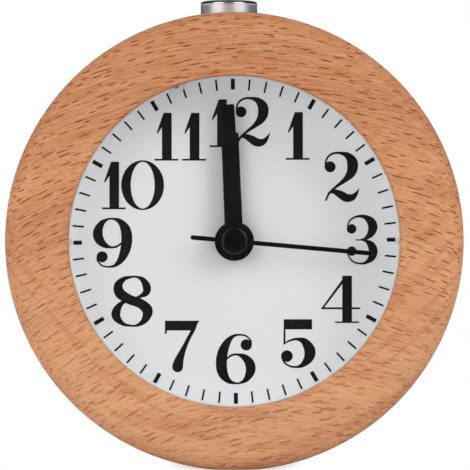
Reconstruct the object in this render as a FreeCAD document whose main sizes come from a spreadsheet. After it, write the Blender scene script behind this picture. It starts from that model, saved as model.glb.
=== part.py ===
# Round wooden desk clock with a quartz alarm movement, built from its separate pieces.
# Millimetres. The origin is the middle of the flat that the clock stands on, +Z is up and the
# dial faces -Y. Most pieces are drawn in the dial plane: x to the right and y up from the
# clock's axis, as seen from the front, and a depth that grows towards the viewer.
import FreeCAD, Part
import math
import os

import Sketcher

SIZES = {
    # turned wooden case, from the window outwards and from the face backwards
    "window_radius": 32.45,
    "lens_lap": 3.05,
    "cover_ledge": 3.5,
    "case_wall": 6.0,
    "case_rounding": 4.0,
    "back_bevel": 1.5,
    "lip_depth": 4.0,
    "stand_width": 9.0,
    # lens, white ring round the dial, dial and the little light beside twelve
    "lens_thickness": 1.5,
    "hand_room": 8.5,
    "ring_step": 0.2,
    "ring_key_radius": 0.75,
    "dial_thickness": 0.8,
    "light_radius": 1.5,
    "light_reach": 1.2,
    "light_angle": 20.3,
    # clearances
    "fit_gap": 0.15,
    "slide_gap": 0.3,
    "running_gap": 0.05,
    "cut_overrun": 1.0,
    # hands, with where each one points, in degrees clockwise from twelve
    "hand_thickness": 0.5,
    "hand_gap": 0.9,
    "hub_radius": 3.9,
    "hand_root_width": 3.5,
    "minute_tip_width": 2.85,
    "minute_hand_length": 27.1,
    "minute_hand_angle": -3.1,
    "hour_tip_width": 3.05,
    "hour_hand_length": 21.5,
    "hour_hand_angle": -1.9,
    "alarm_hub_radius": 3.0,
    "alarm_hand_width": 1.8,
    "alarm_hand_length": 19.0,
    "alarm_hand_angle": -2.3,
    "second_hand_width": 0.9,
    "second_hand_length": 27.5,
    "second_tail_length": 8.7,
    "second_hand_angle": 95.1,
    "cap_radius": 2.65,
    "cap_height": 1.6,
    "cap_bevel": 0.4,
    # movement: plate, wheels and arbors
    "plate_thickness": 1.0,
    "wheel_thickness": 0.8,
    "wheel_gap": 0.2,
    "drive_depth": 6.2,
    "second_arbor_radius": 0.5,
    "tube_wall": 0.4,
    "bush_wall": 1.2,
    "bush_stand": 0.6,
    "pivot_radius": 0.4,
    "pivot_depth": 1.0,
    "arbor_radius": 0.8,
    "movement_half_width": 20.0,
    "movement_top": 18.8,
    "movement_bottom": 17.0,
    "movement_corner": 3.0,
    "movement_wall": 1.0,
    # wheels: tooth size and counts
    "tooth_module": 0.6,
    "cannon_teeth": 8,
    "minute_wheel_teeth": 24,
    "minute_pinion_teeth": 8,
    "hour_wheel_teeth": 32,
    "setting_teeth": 8,
    "alarm_wheel_teeth": 24,
    "alarm_pinion_teeth": 8,
    # moulded cover and its wells
    "rear_gap": 1.2,
    "cover_thickness": 2.0,
    "cover_inset": 0.2,
    "skirt_wall": 1.2,
    "knob_radius": 4.5,
    "knob_depth": 3.6,
    "well_gap": 1.2,
    "well_wall": 1.0,
    "knob_flutes": 16,
    "flute_depth": 0.4,
    "post_radius": 2.0,
    "post_across": 16.5,
    "post_rise": 15.0,
    "sound_slot_length": 9.0,
    "sound_slot_width": 1.0,
    "sound_slot_pitch": 2.2,
    "sound_slots": 5,
    "screw_head_radius": 1.6,
    "screw_head_height": 1.1,
    "cover_screws": 4,
    # battery, its tray, contacts and door
    "battery_radius": 7.1,
    "battery_length": 50.5,
    "battery_bevel": 0.4,
    "battery_nub_radius": 2.75,
    "battery_nub_length": 1.3,
    "battery_drop": 11.0,
    "tray_wall": 1.2,
    "contact_thickness": 0.4,
    "contact_width": 9.0,
    "leaf_reach": 3.2,
    "door_thickness": 1.6,
    "grip_groove_width": 0.8,
    "grip_groove_depth": 0.5,
    "grip_groove_length": 10.0,
    "grip_grooves": 3,
    # alarm switch
    "switch_across": 24.0,
    "switch_rise": 6.0,
    "switch_travel": 4.0,
    "switch_nub_length": 3.0,
    "switch_nub_width": 2.6,
    "switch_lap": 1.4,
    "switch_plate": 0.8,
    # snooze button, its guide and the switch below it
    "button_shift": -1.1,
    "button_radius": 5.7,
    "button_stand": 3.4,
    "button_bevel": 1.0,
    "button_skirt": 4.4,
    "button_wall": 1.1,
    "button_top": 1.4,
    "button_travel": 1.2,
    "stem_radius": 1.6,
    "stem_gap": 0.1,
    "stem_lap": 0.6,
    "stem_head_height": 1.0,
    "tact_size": 6.0,
    "tact_height": 3.5,
    "tact_key_radius": 1.7,
    "tact_key_height": 1.0,
    "board_thickness": 0.8,
    "board_width": 16.0,
    "shelf_rib_width": 1.5,
    "shelf_rib_height": 2.5,
    # buzzer
    "buzzer_radius": 6.5,
    "buzzer_height": 4.0,
    "buzzer_gap": 0.6,
}
FULL_TURN = 360.0
HALF_CIRCLE = 180.0
QUARTER = 90.0

# Tooth shapes as shares of the module: height above and depth below the pitch circle,
# half thickness there, at the tip and at the foot, and how far a leaf is sunk in its pinion.
TOOTH_RISE_SHARE = 0.85
TOOTH_ROOT_SHARE = 1.15
TOOTH_HALF_SHARE = 0.58
TOOTH_TIP_SHARE = 0.28
TOOTH_FOOT_SHARE = 0.98
TOOTH_SINK_SHARE = 0.4


class Size:
    """A size with its value and the expression in the sheet's names that gives it."""

    def __init__(self, value, text):
        self.value = value
        self.text = text

    def __add__(self, other):
        other = sized(other)
        return Size(self.value + other.value, f"({self.text} + {other.text})")

    def __sub__(self, other):
        other = sized(other)
        return Size(self.value - other.value, f"({self.text} - {other.text})")

    def __mul__(self, other):
        other = sized(other)
        return Size(self.value * other.value, f"({self.text} * {other.text})")

    def __truediv__(self, other):
        other = sized(other)
        return Size(self.value / other.value, f"({self.text} / {other.text})")

    def __neg__(self):
        return sized(0) - self


def sized(number):
    if isinstance(number, Size):
        return number
    return Size(float(number), f"{number:.10g}" if number >= 0 else f"(0 - {-number:.10g})")


def root(size):
    return Size(math.sqrt(size.value), f"sqrt({size.text})")


def sine(angle):
    return Size(math.sin(math.radians(angle.value)), f"sin({angle.text})")


def cosine(angle):
    return Size(math.cos(math.radians(angle.value)), f"cos({angle.text})")


def direction(x, y):
    """The direction of a point from the centre, in degrees."""
    return Size(math.degrees(math.atan2(y.value, x.value)), f"(atan2({y.text}; {x.text}) / 1 deg)")


class Named:
    """Gives each cell of the sheet by its alias."""

    def __getattr__(self, alias):
        return Size(float(SIZES[alias]), f"Sizes.{alias}")


size = Named()
NOTHING = sized(0)
CENTRE = ((NOTHING, NOTHING),)
doc = FreeCAD.newDocument("DeskClock")
sheet = doc.addObject("Spreadsheet::Sheet", "Sizes")
for row, (alias, number) in enumerate(SIZES.items(), start=1):
    sheet.set(f"A{row}", alias)
    sheet.set(f"B{row}", str(number))
    sheet.setAlias(f"B{row}", alias)
doc.recompute()
PIECES = []

# Radii of the case from the window outwards.
bore_radius = size.window_radius + size.lens_lap
recess_radius = bore_radius + size.cover_ledge
case_radius = recess_radius + size.case_wall
half_stand = size.stand_width / 2
axis_height = root(case_radius * case_radius - half_stand * half_stand)
fitted_radius = bore_radius - size.fit_gap
ring_inner = size.window_radius + size.ring_step
inner_skirt = fitted_radius - size.skirt_wall

# Depths of the movement and of the battery's tray, and so of the whole case.
layer = size.wheel_thickness + size.wheel_gap
movement_depth = size.plate_thickness + layer * 3 + size.wheel_gap + size.drive_depth
tray_depth = size.tray_wall + size.battery_radius * 2 + size.slide_gap * 4
case_depth = (
    size.lip_depth
    + size.lens_thickness
    + size.hand_room
    + size.dial_thickness
    + movement_depth
    + size.rear_gap
    + tray_depth
    + size.door_thickness
    + size.cover_inset
)

# Depth stations, from the face of the case backwards.
case_front = case_depth / 2
case_back = -case_front
lip_back = case_front - size.lip_depth
lens_back = lip_back - size.lens_thickness
dial_front = lens_back - size.hand_room
dial_back = dial_front - size.dial_thickness
plate_back = dial_back - size.plate_thickness
alarm_front = plate_back - size.wheel_gap
alarm_back = alarm_front - size.wheel_thickness
hour_front = alarm_back - size.wheel_gap
hour_back = hour_front - size.wheel_thickness
minute_front = hour_back - size.wheel_gap
minute_back = minute_front - size.wheel_thickness
drive_front = minute_back - size.wheel_gap
drive_back = drive_front - size.drive_depth
pivot_end = drive_front - size.pivot_depth
tray_front = drive_back - size.rear_gap
tray_floor = tray_front - size.tray_wall
battery_depth = tray_floor - size.slide_gap - size.battery_radius
cover_back = case_back + size.cover_inset
cover_front = cover_back + size.cover_thickness
door_front = cover_back + size.door_thickness
knob_front = cover_back + size.knob_depth
socket_end = cover_back + size.knob_depth / 2
well_floor = knob_front + size.slide_gap
well_front = well_floor + size.well_wall

# Hands, from the dial towards the lens.
alarm_hand_back = dial_front + size.bush_stand + size.slide_gap
alarm_hand_front = alarm_hand_back + size.hand_thickness
hour_hand_back = alarm_hand_front + size.hand_gap
hour_hand_front = hour_hand_back + size.hand_thickness
minute_hand_back = hour_hand_front + size.hand_gap
minute_hand_front = minute_hand_back + size.hand_thickness
second_hand_back = minute_hand_front + size.hand_gap
second_hand_front = second_hand_back + size.hand_thickness
cap_front = second_hand_back + size.cap_height

# Nested tubes at the centre, from the seconds arbor outwards.
minute_bore = size.second_arbor_radius + size.running_gap
minute_tube = minute_bore + size.tube_wall
hour_bore = minute_tube + size.running_gap
hour_tube = hour_bore + size.tube_wall
alarm_bore = hour_tube + size.running_gap
alarm_tube = alarm_bore + size.tube_wall
bush_bore = alarm_tube + size.running_gap
bush_radius = bush_bore + size.bush_wall
pivot_hole = size.pivot_radius + size.running_gap
arbor_hole = size.arbor_radius + size.running_gap


def centres(module, one, other):
    """How far apart two wheels stand, from their tooth counts."""
    return module * (one + other) / 2


def meshing(line, turn, teeth, other_teeth):
    """How far a wheel is turned so that its teeth meet those of the wheel along the line."""
    return line + HALF_CIRCLE + sized(HALF_CIRCLE) / other_teeth - (turn - line) * teeth / other_teeth


# Where the arbors stand in the dial plane. The minute arbor is straight above the centre. The
# setting arbor meets its wheel, and stands as far out as the alarm arbor on the other side.
minute_rise = centres(size.tooth_module, size.cannon_teeth, size.minute_wheel_teeth)
hour_module = minute_rise * 2 / (size.minute_pinion_teeth + size.hour_wheel_teeth)
setting_distance = centres(size.tooth_module, size.minute_wheel_teeth, size.setting_teeth)
alarm_distance = centres(size.tooth_module, size.alarm_wheel_teeth, size.alarm_pinion_teeth)
alarm_square = alarm_distance * alarm_distance
minute_square = minute_rise * minute_rise
knob_rise = (alarm_square + minute_square - setting_distance * setting_distance) / (minute_rise * 2)
knob_across = root(alarm_square - knob_rise * knob_rise)
knob_spots = [(-knob_across, knob_rise), (knob_across, knob_rise)]

# How each wheel is turned at rest, so that the teeth mesh.
minute_line = sized(QUARTER)
minute_turn = meshing(minute_line, NOTHING, size.cannon_teeth, size.minute_wheel_teeth)
hour_turn = meshing(minute_line + HALF_CIRCLE, minute_turn, size.minute_pinion_teeth, size.hour_wheel_teeth)
setting_line = direction(-knob_across, knob_rise - minute_rise)
setting_turn = meshing(setting_line, minute_turn, size.minute_wheel_teeth, size.setting_teeth)
alarm_line = direction(knob_across, knob_rise)
alarm_turn = meshing(alarm_line, NOTHING, size.alarm_wheel_teeth, size.alarm_pinion_teeth)

# Pieces drawn in the dial plane, pieces that stand upright and pieces that lie across.
FACING = FreeCAD.Rotation(FreeCAD.Vector(1, 0, 0), QUARTER)
UPWARDS = FreeCAD.Rotation()
SIDEWAYS = FreeCAD.Rotation(FreeCAD.Vector(0, 1, 0), QUARTER)


def bind(thing, **sizes):
    """Ties properties of an object to the sheet."""
    for name, value in sizes.items():
        thing.setExpression(name.replace("__", "."), sized(value).text)


def stand(thing, x=NOTHING, y=NOTHING, depth=NOTHING, rotation=FACING):
    """Puts an object at a place in the dial plane."""
    height, back = axis_height + y, -depth
    thing.Placement = FreeCAD.Placement(FreeCAD.Vector(x.value, back.value, height.value), rotation)
    bind(thing, Placement__Base__x=x, Placement__Base__y=back, Placement__Base__z=height)
    return thing


def piece(thing, label):
    thing.Label = label
    PIECES.append(thing)
    return thing


def body_of(label, x=NOTHING, y=NOTHING, depth=NOTHING, rotation=FACING):
    return piece(stand(doc.addObject("PartDesign::Body", label), x, y, depth, rotation), label)


def origin_part(body, role):
    return next(f for f in body.Origin.OriginFeatures if f.Role == role)


def new_sketch(body, name, role, depth, turn):
    sketch = body.newObject("Sketcher::SketchObject", name)
    sketch.AttachmentSupport = (origin_part(body, role), [""])
    sketch.MapMode = "FlatFace"
    turned_by = FreeCAD.Rotation(FreeCAD.Vector(0, 0, 1), turn.value)
    sketch.AttachmentOffset = FreeCAD.Placement(FreeCAD.Vector(0, 0, depth.value), turned_by)
    bind(sketch, AttachmentOffset__Base__z=depth)
    if turn is not NOTHING:
        bind(sketch, AttachmentOffset__Rotation__Angle=turn)
    sketch.Visibility = False
    return sketch


def hold(sketch, part, spot, x, y):
    """Holds a point of a sketch at x and y from the sketch's origin."""
    for axis, value, line in (("DistanceX", x, -2), ("DistanceY", y, -1)):
        if value is NOTHING:
            sketch.addConstraint(Sketcher.Constraint("PointOnObject", part, spot, line))
            continue
        number = sketch.addConstraint(Sketcher.Constraint(axis, -1, 1, part, spot, value.value))
        sketch.setExpression(f"Constraints[{number}]", value.text)


def outline(body, name, points, role="XY_Plane", depth=NOTHING, turn=NOTHING):
    """A closed sketch of straight sides through points whose places are sizes."""
    sketch = new_sketch(body, name, role, depth, turn)
    corners = [FreeCAD.Vector(x.value, y.value, 0) for x, y in points]
    for start, end in zip(corners, corners[1:] + corners[:1]):
        sketch.addGeometry(Part.LineSegment(start, end), False)
    for number in range(len(points)):
        following = (number + 1) % len(points)
        sketch.addConstraint(Sketcher.Constraint("Coincident", number, 2, following, 1))
    for number, (x, y) in enumerate(points):
        hold(sketch, number, 1, x, y)
    return sketch


def circles(body, name, radii, role="XY_Plane", depth=NOTHING, turn=NOTHING, spots=CENTRE):
    """A sketch of one or more circles at each spot."""
    sketch = new_sketch(body, name, role, depth, turn)
    for x, y in spots:
        for radius in radii:
            middle = FreeCAD.Vector(x.value, y.value, 0)
            circle = Part.Circle(middle, FreeCAD.Vector(0, 0, 1), radius.value)
            part = sketch.addGeometry(circle, False)
            hold(sketch, part, 3, x, y)
            number = sketch.addConstraint(Sketcher.Constraint("Radius", part, radius.value))
            sketch.setExpression(f"Constraints[{number}]", radius.text)
    return sketch


def rectangle(left, right, low, high):
    return [(left, low), (right, low), (right, high), (left, high)]


def grown(sides, margin):
    """A rectangle with its sides moved outwards."""
    (left, low), (right, high) = sides[0], sides[2]
    return rectangle(left - margin, right + margin, low - margin, high + margin)


def feature(body, kind, sketch, name, length):
    made = body.newObject(f"PartDesign::{kind}", name)
    made.Profile = sketch
    bind(made, Length=length)
    doc.recompute()
    return made


def disc(body, name, radii, low, high, spots=CENTRE):
    """Discs or rings between two depths."""
    sketch = circles(body, f"{name}Circles", radii, depth=low, spots=spots)
    return feature(body, "Pad", sketch, name, high - low)


def bore(body, name, radius, high, low, spots=CENTRE, turn=NOTHING):
    """Round holes from a front depth to a rear depth."""
    sketch = circles(body, f"{name}Circles", [radius], depth=high, turn=turn, spots=spots)
    return feature(body, "Pocket", sketch, name, high - low)


def block(body, name, sides, low, high, turn=NOTHING):
    sketch = outline(body, f"{name}Outline", sides, depth=low, turn=turn)
    return feature(body, "Pad", sketch, name, high - low)


def window(body, name, sides, high, low, turn=NOTHING):
    sketch = outline(body, f"{name}Outline", sides, depth=high, turn=turn)
    return feature(body, "Pocket", sketch, name, high - low)


def turned(body, name, points):
    """A turned piece from a profile of radii and depths."""
    made = body.newObject("PartDesign::Revolution", name)
    made.Profile = outline(body, f"{name}Profile", points, role="XZ_Plane")
    made.ReferenceAxis = (made.Profile[0], ["V_Axis"])
    made.Angle = FULL_TURN
    doc.recompute()
    return made


def repeat(body, name, original, count):
    """The same feature again at even steps of a whole turn."""
    made = body.newObject("PartDesign::PolarPattern", name)
    made.Originals = [original]
    made.Axis = (origin_part(body, "Z_Axis"), [""])
    made.Angle = FULL_TURN
    bind(made, Occurrences=count)
    body.Tip = made
    doc.recompute()


def repeat_up(body, name, original, count, pitch):
    """The same feature again at even steps upwards."""
    made = body.newObject("PartDesign::LinearPattern", name)
    made.Originals = [original]
    made.Direction = (origin_part(body, "Y_Axis"), [""])
    bind(made, Length=pitch * (count - 1), Occurrences=count)
    body.Tip = made
    doc.recompute()


def nearly(one, other):
    return abs(one - other) < size.running_gap.value / 100


def dress(body, kind, name, amount, wanted):
    """Rounds or bevels the edges that wanted picks."""
    base = body.Tip
    names = [f"Edge{number}" for number, edge in enumerate(base.Shape.Edges, start=1) if wanted(edge)]
    made = body.newObject(f"PartDesign::{kind}", name)
    made.Base = (base, names)
    if kind == "Fillet":
        bind(made, Radius=amount)
    else:
        bind(made, Size=amount)
    body.Tip = made
    doc.recompute()


def rim(radius, depth):
    """Picks the circular edge of a turned shape at a radius and a depth."""

    def wanted(edge):
        curve = edge.Curve
        return isinstance(curve, Part.Circle) and nearly(curve.Radius, radius.value) and nearly(
            curve.Center.z, depth.value
        )

    return wanted


def front_to_back(edge):
    """Picks straight edges that run from front to back."""
    straight = isinstance(edge.Curve, (Part.Line, Part.LineSegment))
    return straight and nearly(abs(edge.tangentAt(edge.FirstParameter).z), 1)


def pinion(body, name, module, leaves, low, high, turn):
    """A small disc with leaves round it, radial below the pitch circle and tapered above."""
    pitch = module * leaves / 2
    bottom = pitch - module * TOOTH_ROOT_SHARE
    sunk = bottom - module * TOOTH_SINK_SHARE
    tip = pitch + module * TOOTH_RISE_SHARE
    half = module * TOOTH_HALF_SHARE
    half_tip = module * TOOTH_TIP_SHARE
    half_sunk = half * sunk / pitch
    disc(body, f"{name}Disc", [bottom], low, high)
    flank = [(sunk, half_sunk), (pitch, half), (tip, half_tip)]
    sides = [(x, -y) for x, y in flank] + flank[::-1]
    leaf = block(body, f"{name}Leaf", sides, low, high, turn=turn)
    repeat(body, f"{name}Leaves", leaf, leaves)


def wheel(body, name, module, teeth, low, high, turn):
    """A disc with notches cut round it, which leaves tapered teeth."""
    pitch = module * teeth / 2
    bottom = pitch - module * TOOTH_ROOT_SHARE
    tip = pitch + module * TOOTH_RISE_SHARE
    degrees = HALF_CIRCLE / math.pi
    half_step = sized(HALF_CIRCLE) / teeth
    foot = half_step - module * TOOTH_FOOT_SHARE * degrees / bottom
    crest = half_step - module * TOOTH_TIP_SHARE * degrees / tip
    beyond = tip + size.cut_overrun
    flank = [
        (radius * cosine(angle), radius * sine(angle))
        for radius, angle in ((bottom, foot), (tip, crest), (beyond, crest))
    ]
    sides = [(x, -y) for x, y in flank] + flank[::-1]
    disc(body, f"{name}Disc", [tip], low, high)
    notch = window(body, f"{name}Notch", sides, high, low, turn=turn + half_step)
    repeat(body, f"{name}Notches", notch, teeth)


def solid_of(label, kind, x=NOTHING, y=NOTHING, depth=NOTHING, rotation=FACING, **sizes):
    """A primitive whose sizes are tied to the sheet."""
    made = doc.addObject(f"Part::{kind}", label)
    bind(made, **sizes)
    return stand(made, x, y, depth, rotation)


def joined(label, *parts):
    made = doc.addObject("Part::MultiFuse", label)
    made.Shapes = list(parts)
    return made


# Wooden case: a turned ring with a front lip, a bore from the back, a recess for the cover, a
# flat to stand on and the button's hole.
def make_wood_case():
    body = body_of("wood_case")
    profile = [
        (size.window_radius, case_front),
        (case_radius, case_front),
        (case_radius, case_back),
        (recess_radius, case_back),
        (recess_radius, cover_front),
        (bore_radius, cover_front),
        (bore_radius, lip_back),
        (size.window_radius, lip_back),
    ]
    turned(body, "CaseRing", profile)
    dress(body, "Fillet", "FrontRounding", size.case_rounding, rim(case_radius, case_front))
    dress(body, "Chamfer", "BackBevel", size.back_bevel, rim(case_radius, case_back))
    reach = half_stand + size.cut_overrun
    below = case_radius + size.cut_overrun
    front = case_front + size.cut_overrun
    window(body, "StandFlat", rectangle(-reach, reach, -below, -axis_height), front, -front)
    hole_radius = size.button_radius + size.slide_gap
    spot = ((size.button_shift, NOTHING),)
    hole = circles(body, "ButtonHoleCircle", [hole_radius], role="XZ_Plane", spots=spot)
    feature(body, "Pocket", hole, "ButtonHole", below)


def make_lens():
    disc(body_of("lens"), "LensDisc", [fitted_radius], lens_back, lip_back)


# White ring that holds the dial away from the lens, with a key at three and nine o'clock and a
# hole for the light.
def make_dial_ring():
    body = stand(doc.addObject("PartDesign::Body", "RingMoulding"))
    disc(body, "Ring", [fitted_radius, ring_inner], dial_front, lens_back)
    middle = ring_inner + size.ring_key_radius / 4
    disc(body, "Keys", [size.ring_key_radius], dial_front, lens_back, ((middle, NOTHING), (-middle, NOTHING)))
    overrun = size.cut_overrun
    hole = along_light("LightHole", ring_inner - overrun, bore_radius + overrun, size.running_gap)
    ring = doc.addObject("Part::Cut", "dial_ring")
    ring.Base = body
    ring.Tool = hole
    piece(ring, "dial_ring")


def along_light(label, low, high, margin=NOTHING, kind="Cylinder", **sizes):
    """A round solid along the light's own line out from the centre."""
    if kind == "Cylinder":
        sizes = {"Radius": size.light_radius + margin}
    tilt = FreeCAD.Rotation(FreeCAD.Vector(0, -1, 0), size.light_angle.value)
    x, y = -low * sine(size.light_angle), low * cosine(size.light_angle)
    made = solid_of(label, kind, x, y, (dial_front + lens_back) / 2, tilt, Height=high - low, **sizes)
    bind(made, Placement__Rotation__Angle=size.light_angle)
    return made


def make_dial_light():
    tip = ring_inner - size.light_reach
    shoulder = tip + size.light_radius / 2
    barrel = along_light("LightBarrel", shoulder, fitted_radius)
    nose = along_light(
        "LightNose", tip, shoulder, kind="Cone", Radius1=size.light_radius / 2, Radius2=size.light_radius
    )
    piece(joined("dial_light", barrel, nose), "dial_light")


def make_dial_plate():
    disc(body_of("dial_plate"), "Plate", [fitted_radius, bush_radius + size.fit_gap], dial_back, dial_front)


def flat_hand(label, hub, tube, root_width, tip_width, length, angle, low, high):
    """A flat tapered hand with a round hub that sits on its tube."""
    body = body_of(label)
    half, half_tip = root_width / 2, tip_width / 2
    sides = [(-half, NOTHING), (half, NOTHING), (half_tip, length), (-half_tip, length)]
    block(body, "Blade", sides, low, high, turn=-angle)
    disc(body, "Hub", [hub], low, high)
    bore(body, "HubHole", tube, high, low)


def make_minute_hand():
    flat_hand(
        "minute_hand", size.hub_radius, minute_tube, size.hand_root_width, size.minute_tip_width,
        size.minute_hand_length, size.minute_hand_angle, minute_hand_back, minute_hand_front,
    )


def make_hour_hand():
    flat_hand(
        "hour_hand", size.hub_radius, hour_tube, size.hand_root_width, size.hour_tip_width,
        size.hour_hand_length, size.hour_hand_angle, hour_hand_back, hour_hand_front,
    )


def make_alarm_hand():
    width = size.alarm_hand_width
    flat_hand(
        "alarm_hand", size.alarm_hub_radius, alarm_tube, width, width,
        size.alarm_hand_length, size.alarm_hand_angle, alarm_hand_back, alarm_hand_front,
    )


def make_second_hand():
    body = body_of("second_hand")
    low, high, turn = second_hand_back, second_hand_front, -size.second_hand_angle
    half = size.second_hand_width / 2
    tail = half - size.second_tail_length
    block(body, "Needle", rectangle(-half, half, tail, size.second_hand_length), low, high, turn=turn)
    end = circles(body, "TailCircle", [half], depth=low, turn=turn, spots=((NOTHING, tail),))
    feature(body, "Pad", end, "TailEnd", high - low)
    disc(body, "Cap", [size.cap_radius], low, cap_front)
    dress(body, "Chamfer", "CapBevel", size.cap_bevel, rim(size.cap_radius, cap_front))
    bore(body, "CapHole", size.second_arbor_radius, high, low)


# Motion work between the movement's front plate and its drive.
def make_second_arbor():
    disc(body_of("second_arbor"), "Arbor", [size.second_arbor_radius], pivot_end, second_hand_front)


def make_cannon_pinion():
    body = body_of("cannon_pinion")
    pinion(body, "Cannon", size.tooth_module, size.cannon_teeth, minute_back, minute_front, NOTHING)
    disc(body, "Tube", [minute_tube], minute_front, minute_hand_front)
    bore(body, "Through", minute_bore, minute_hand_front, minute_back)


def make_hour_wheel():
    body = body_of("hour_wheel")
    wheel(body, "Hour", hour_module, size.hour_wheel_teeth, hour_back, hour_front, hour_turn)
    disc(body, "Tube", [hour_tube], hour_front, hour_hand_front)
    bore(body, "Through", hour_bore, hour_hand_front, hour_back)


def make_alarm_wheel():
    body = body_of("alarm_wheel")
    wheel(body, "Alarm", size.tooth_module, size.alarm_wheel_teeth, alarm_back, alarm_front, NOTHING)
    disc(body, "Tube", [alarm_tube], alarm_front, alarm_hand_front)
    bore(body, "Through", alarm_bore, alarm_hand_front, alarm_back)


def make_minute_wheel():
    body = body_of("minute_wheel", NOTHING, minute_rise)
    wheel(body, "Minute", size.tooth_module, size.minute_wheel_teeth, minute_back, minute_front, minute_turn)
    pinion(body, "Pinion", hour_module, size.minute_pinion_teeth, minute_front, hour_front, minute_turn)
    disc(body, "FrontPivot", [size.pivot_radius], hour_front, dial_back)
    disc(body, "RearPivot", [size.pivot_radius], pivot_end, minute_back)


def setting_arbor(label, spot, teeth, low, high, turn):
    """An arbor that reaches back to its knob, with a pinion near the front plate."""
    body = body_of(label, *spot)
    pinion(body, "Pinion", size.tooth_module, teeth, low, high, turn)
    disc(body, "Pivot", [size.pivot_radius], high, dial_back)
    disc(body, "Arbor", [size.arbor_radius], socket_end, low)


def make_setting_arbors():
    left, right = knob_spots
    setting_arbor("time_set_arbor", left, size.setting_teeth, minute_back, minute_front, setting_turn)
    setting_arbor("alarm_set_arbor", right, size.alarm_pinion_teeth, alarm_back, alarm_front, alarm_turn)


def make_knobs():
    for label, spot in zip(("time_set_knob", "alarm_set_knob"), knob_spots):
        body = body_of(label, *spot)
        disc(body, "Grip", [size.knob_radius], cover_back, knob_front)
        inner, outer = size.knob_radius - size.flute_depth, size.knob_radius + size.flute_depth
        half = size.flute_depth * 2
        notch = [(inner, NOTHING), (outer, -half), (outer, half)]
        flute = window(body, "Flute", notch, knob_front, cover_back)
        repeat(body, "Flutes", flute, size.knob_flutes)
        bore(body, "Socket", size.arbor_radius, knob_front, socket_end)


movement_sides = rectangle(
    -size.movement_half_width, size.movement_half_width, -size.movement_bottom, size.movement_top
)


def make_front_plate():
    body = body_of("movement_front_plate")
    block(body, "Plate", movement_sides, plate_back, dial_back)
    dress(body, "Chamfer", "Corners", size.movement_corner, front_to_back)
    disc(body, "Bush", [bush_radius], dial_back, dial_front + size.bush_stand)
    bore(body, "BushHole", bush_bore, dial_front + size.bush_stand, plate_back)
    bore(body, "PivotHoles", pivot_hole, dial_back, plate_back, [(NOTHING, minute_rise)] + knob_spots)


# The stepping motor and its train are a sealed block at the back of the housing.
def make_movement_housing():
    body = body_of("movement_housing")
    block(body, "Shell", movement_sides, drive_back, plate_back)
    dress(body, "Chamfer", "Corners", size.movement_corner, front_to_back)
    window(body, "WheelRoom", grown(movement_sides, -size.movement_wall), plate_back, drive_front)
    corner_x = size.movement_half_width - size.movement_wall
    reach = size.movement_corner
    for side, name in ((-1, "Left"), (1, "Right")):
        for rise, where in ((-size.movement_bottom, "Low"), (size.movement_top, "High")):
            inward = reach if rise.value < 0 else -reach
            corner = corner_x * side
            wedge = [(corner, rise), (corner, rise + inward), (corner - reach * side, rise)]
            block(body, f"{name}{where}Corner", wedge, drive_front, plate_back)
    bore(body, "CentreHole", size.second_arbor_radius + size.running_gap, drive_front, pivot_end)
    bore(body, "PivotHole", pivot_hole, drive_front, pivot_end, [(NOTHING, minute_rise)])
    bore(body, "ArborHoles", arbor_hole, drive_front, drive_back, knob_spots)


# Moulded cover: a deep cup whose rim clamps the dial, ring and lens against the case's lip. Its
# floor carries the battery tray, the knobs' wells, the posts behind the movement, the sound
# slots, the switch's slot and the two ribs under the button's board.
tray_half_length = (size.battery_length + size.leaf_reach + size.contact_thickness) / 2
tray_half_height = size.battery_radius + size.slide_gap
tray_sides = rectangle(
    -tray_half_length,
    tray_half_length,
    -size.battery_drop - tray_half_height,
    tray_half_height - size.battery_drop,
)
screw_circle = (bore_radius + recess_radius) / 2
well_radius = size.knob_radius + size.well_gap
buzzer_across = -knob_across - well_radius - size.well_wall - size.buzzer_gap - size.buzzer_radius
screw_turn = sized(HALF_CIRCLE) / size.cover_screws

# Heights of the button's parts above the clock's axis.
button_crown = case_radius + size.button_stand
button_under = button_crown - size.button_top
skirt_bottom = button_under - size.button_skirt
guide_top = skirt_bottom - size.button_travel - size.slide_gap
stem_head_top = inner_skirt - size.slide_gap * 2
stem_end = stem_head_top - size.stem_head_height
tact_top = stem_end - size.button_travel - size.slide_gap
board_top = tact_top - size.tact_key_height - size.tact_height
board_bottom = board_top - size.board_thickness
board_front = size.tact_size / 2 + size.slide_gap
button_x = size.button_shift


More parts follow.
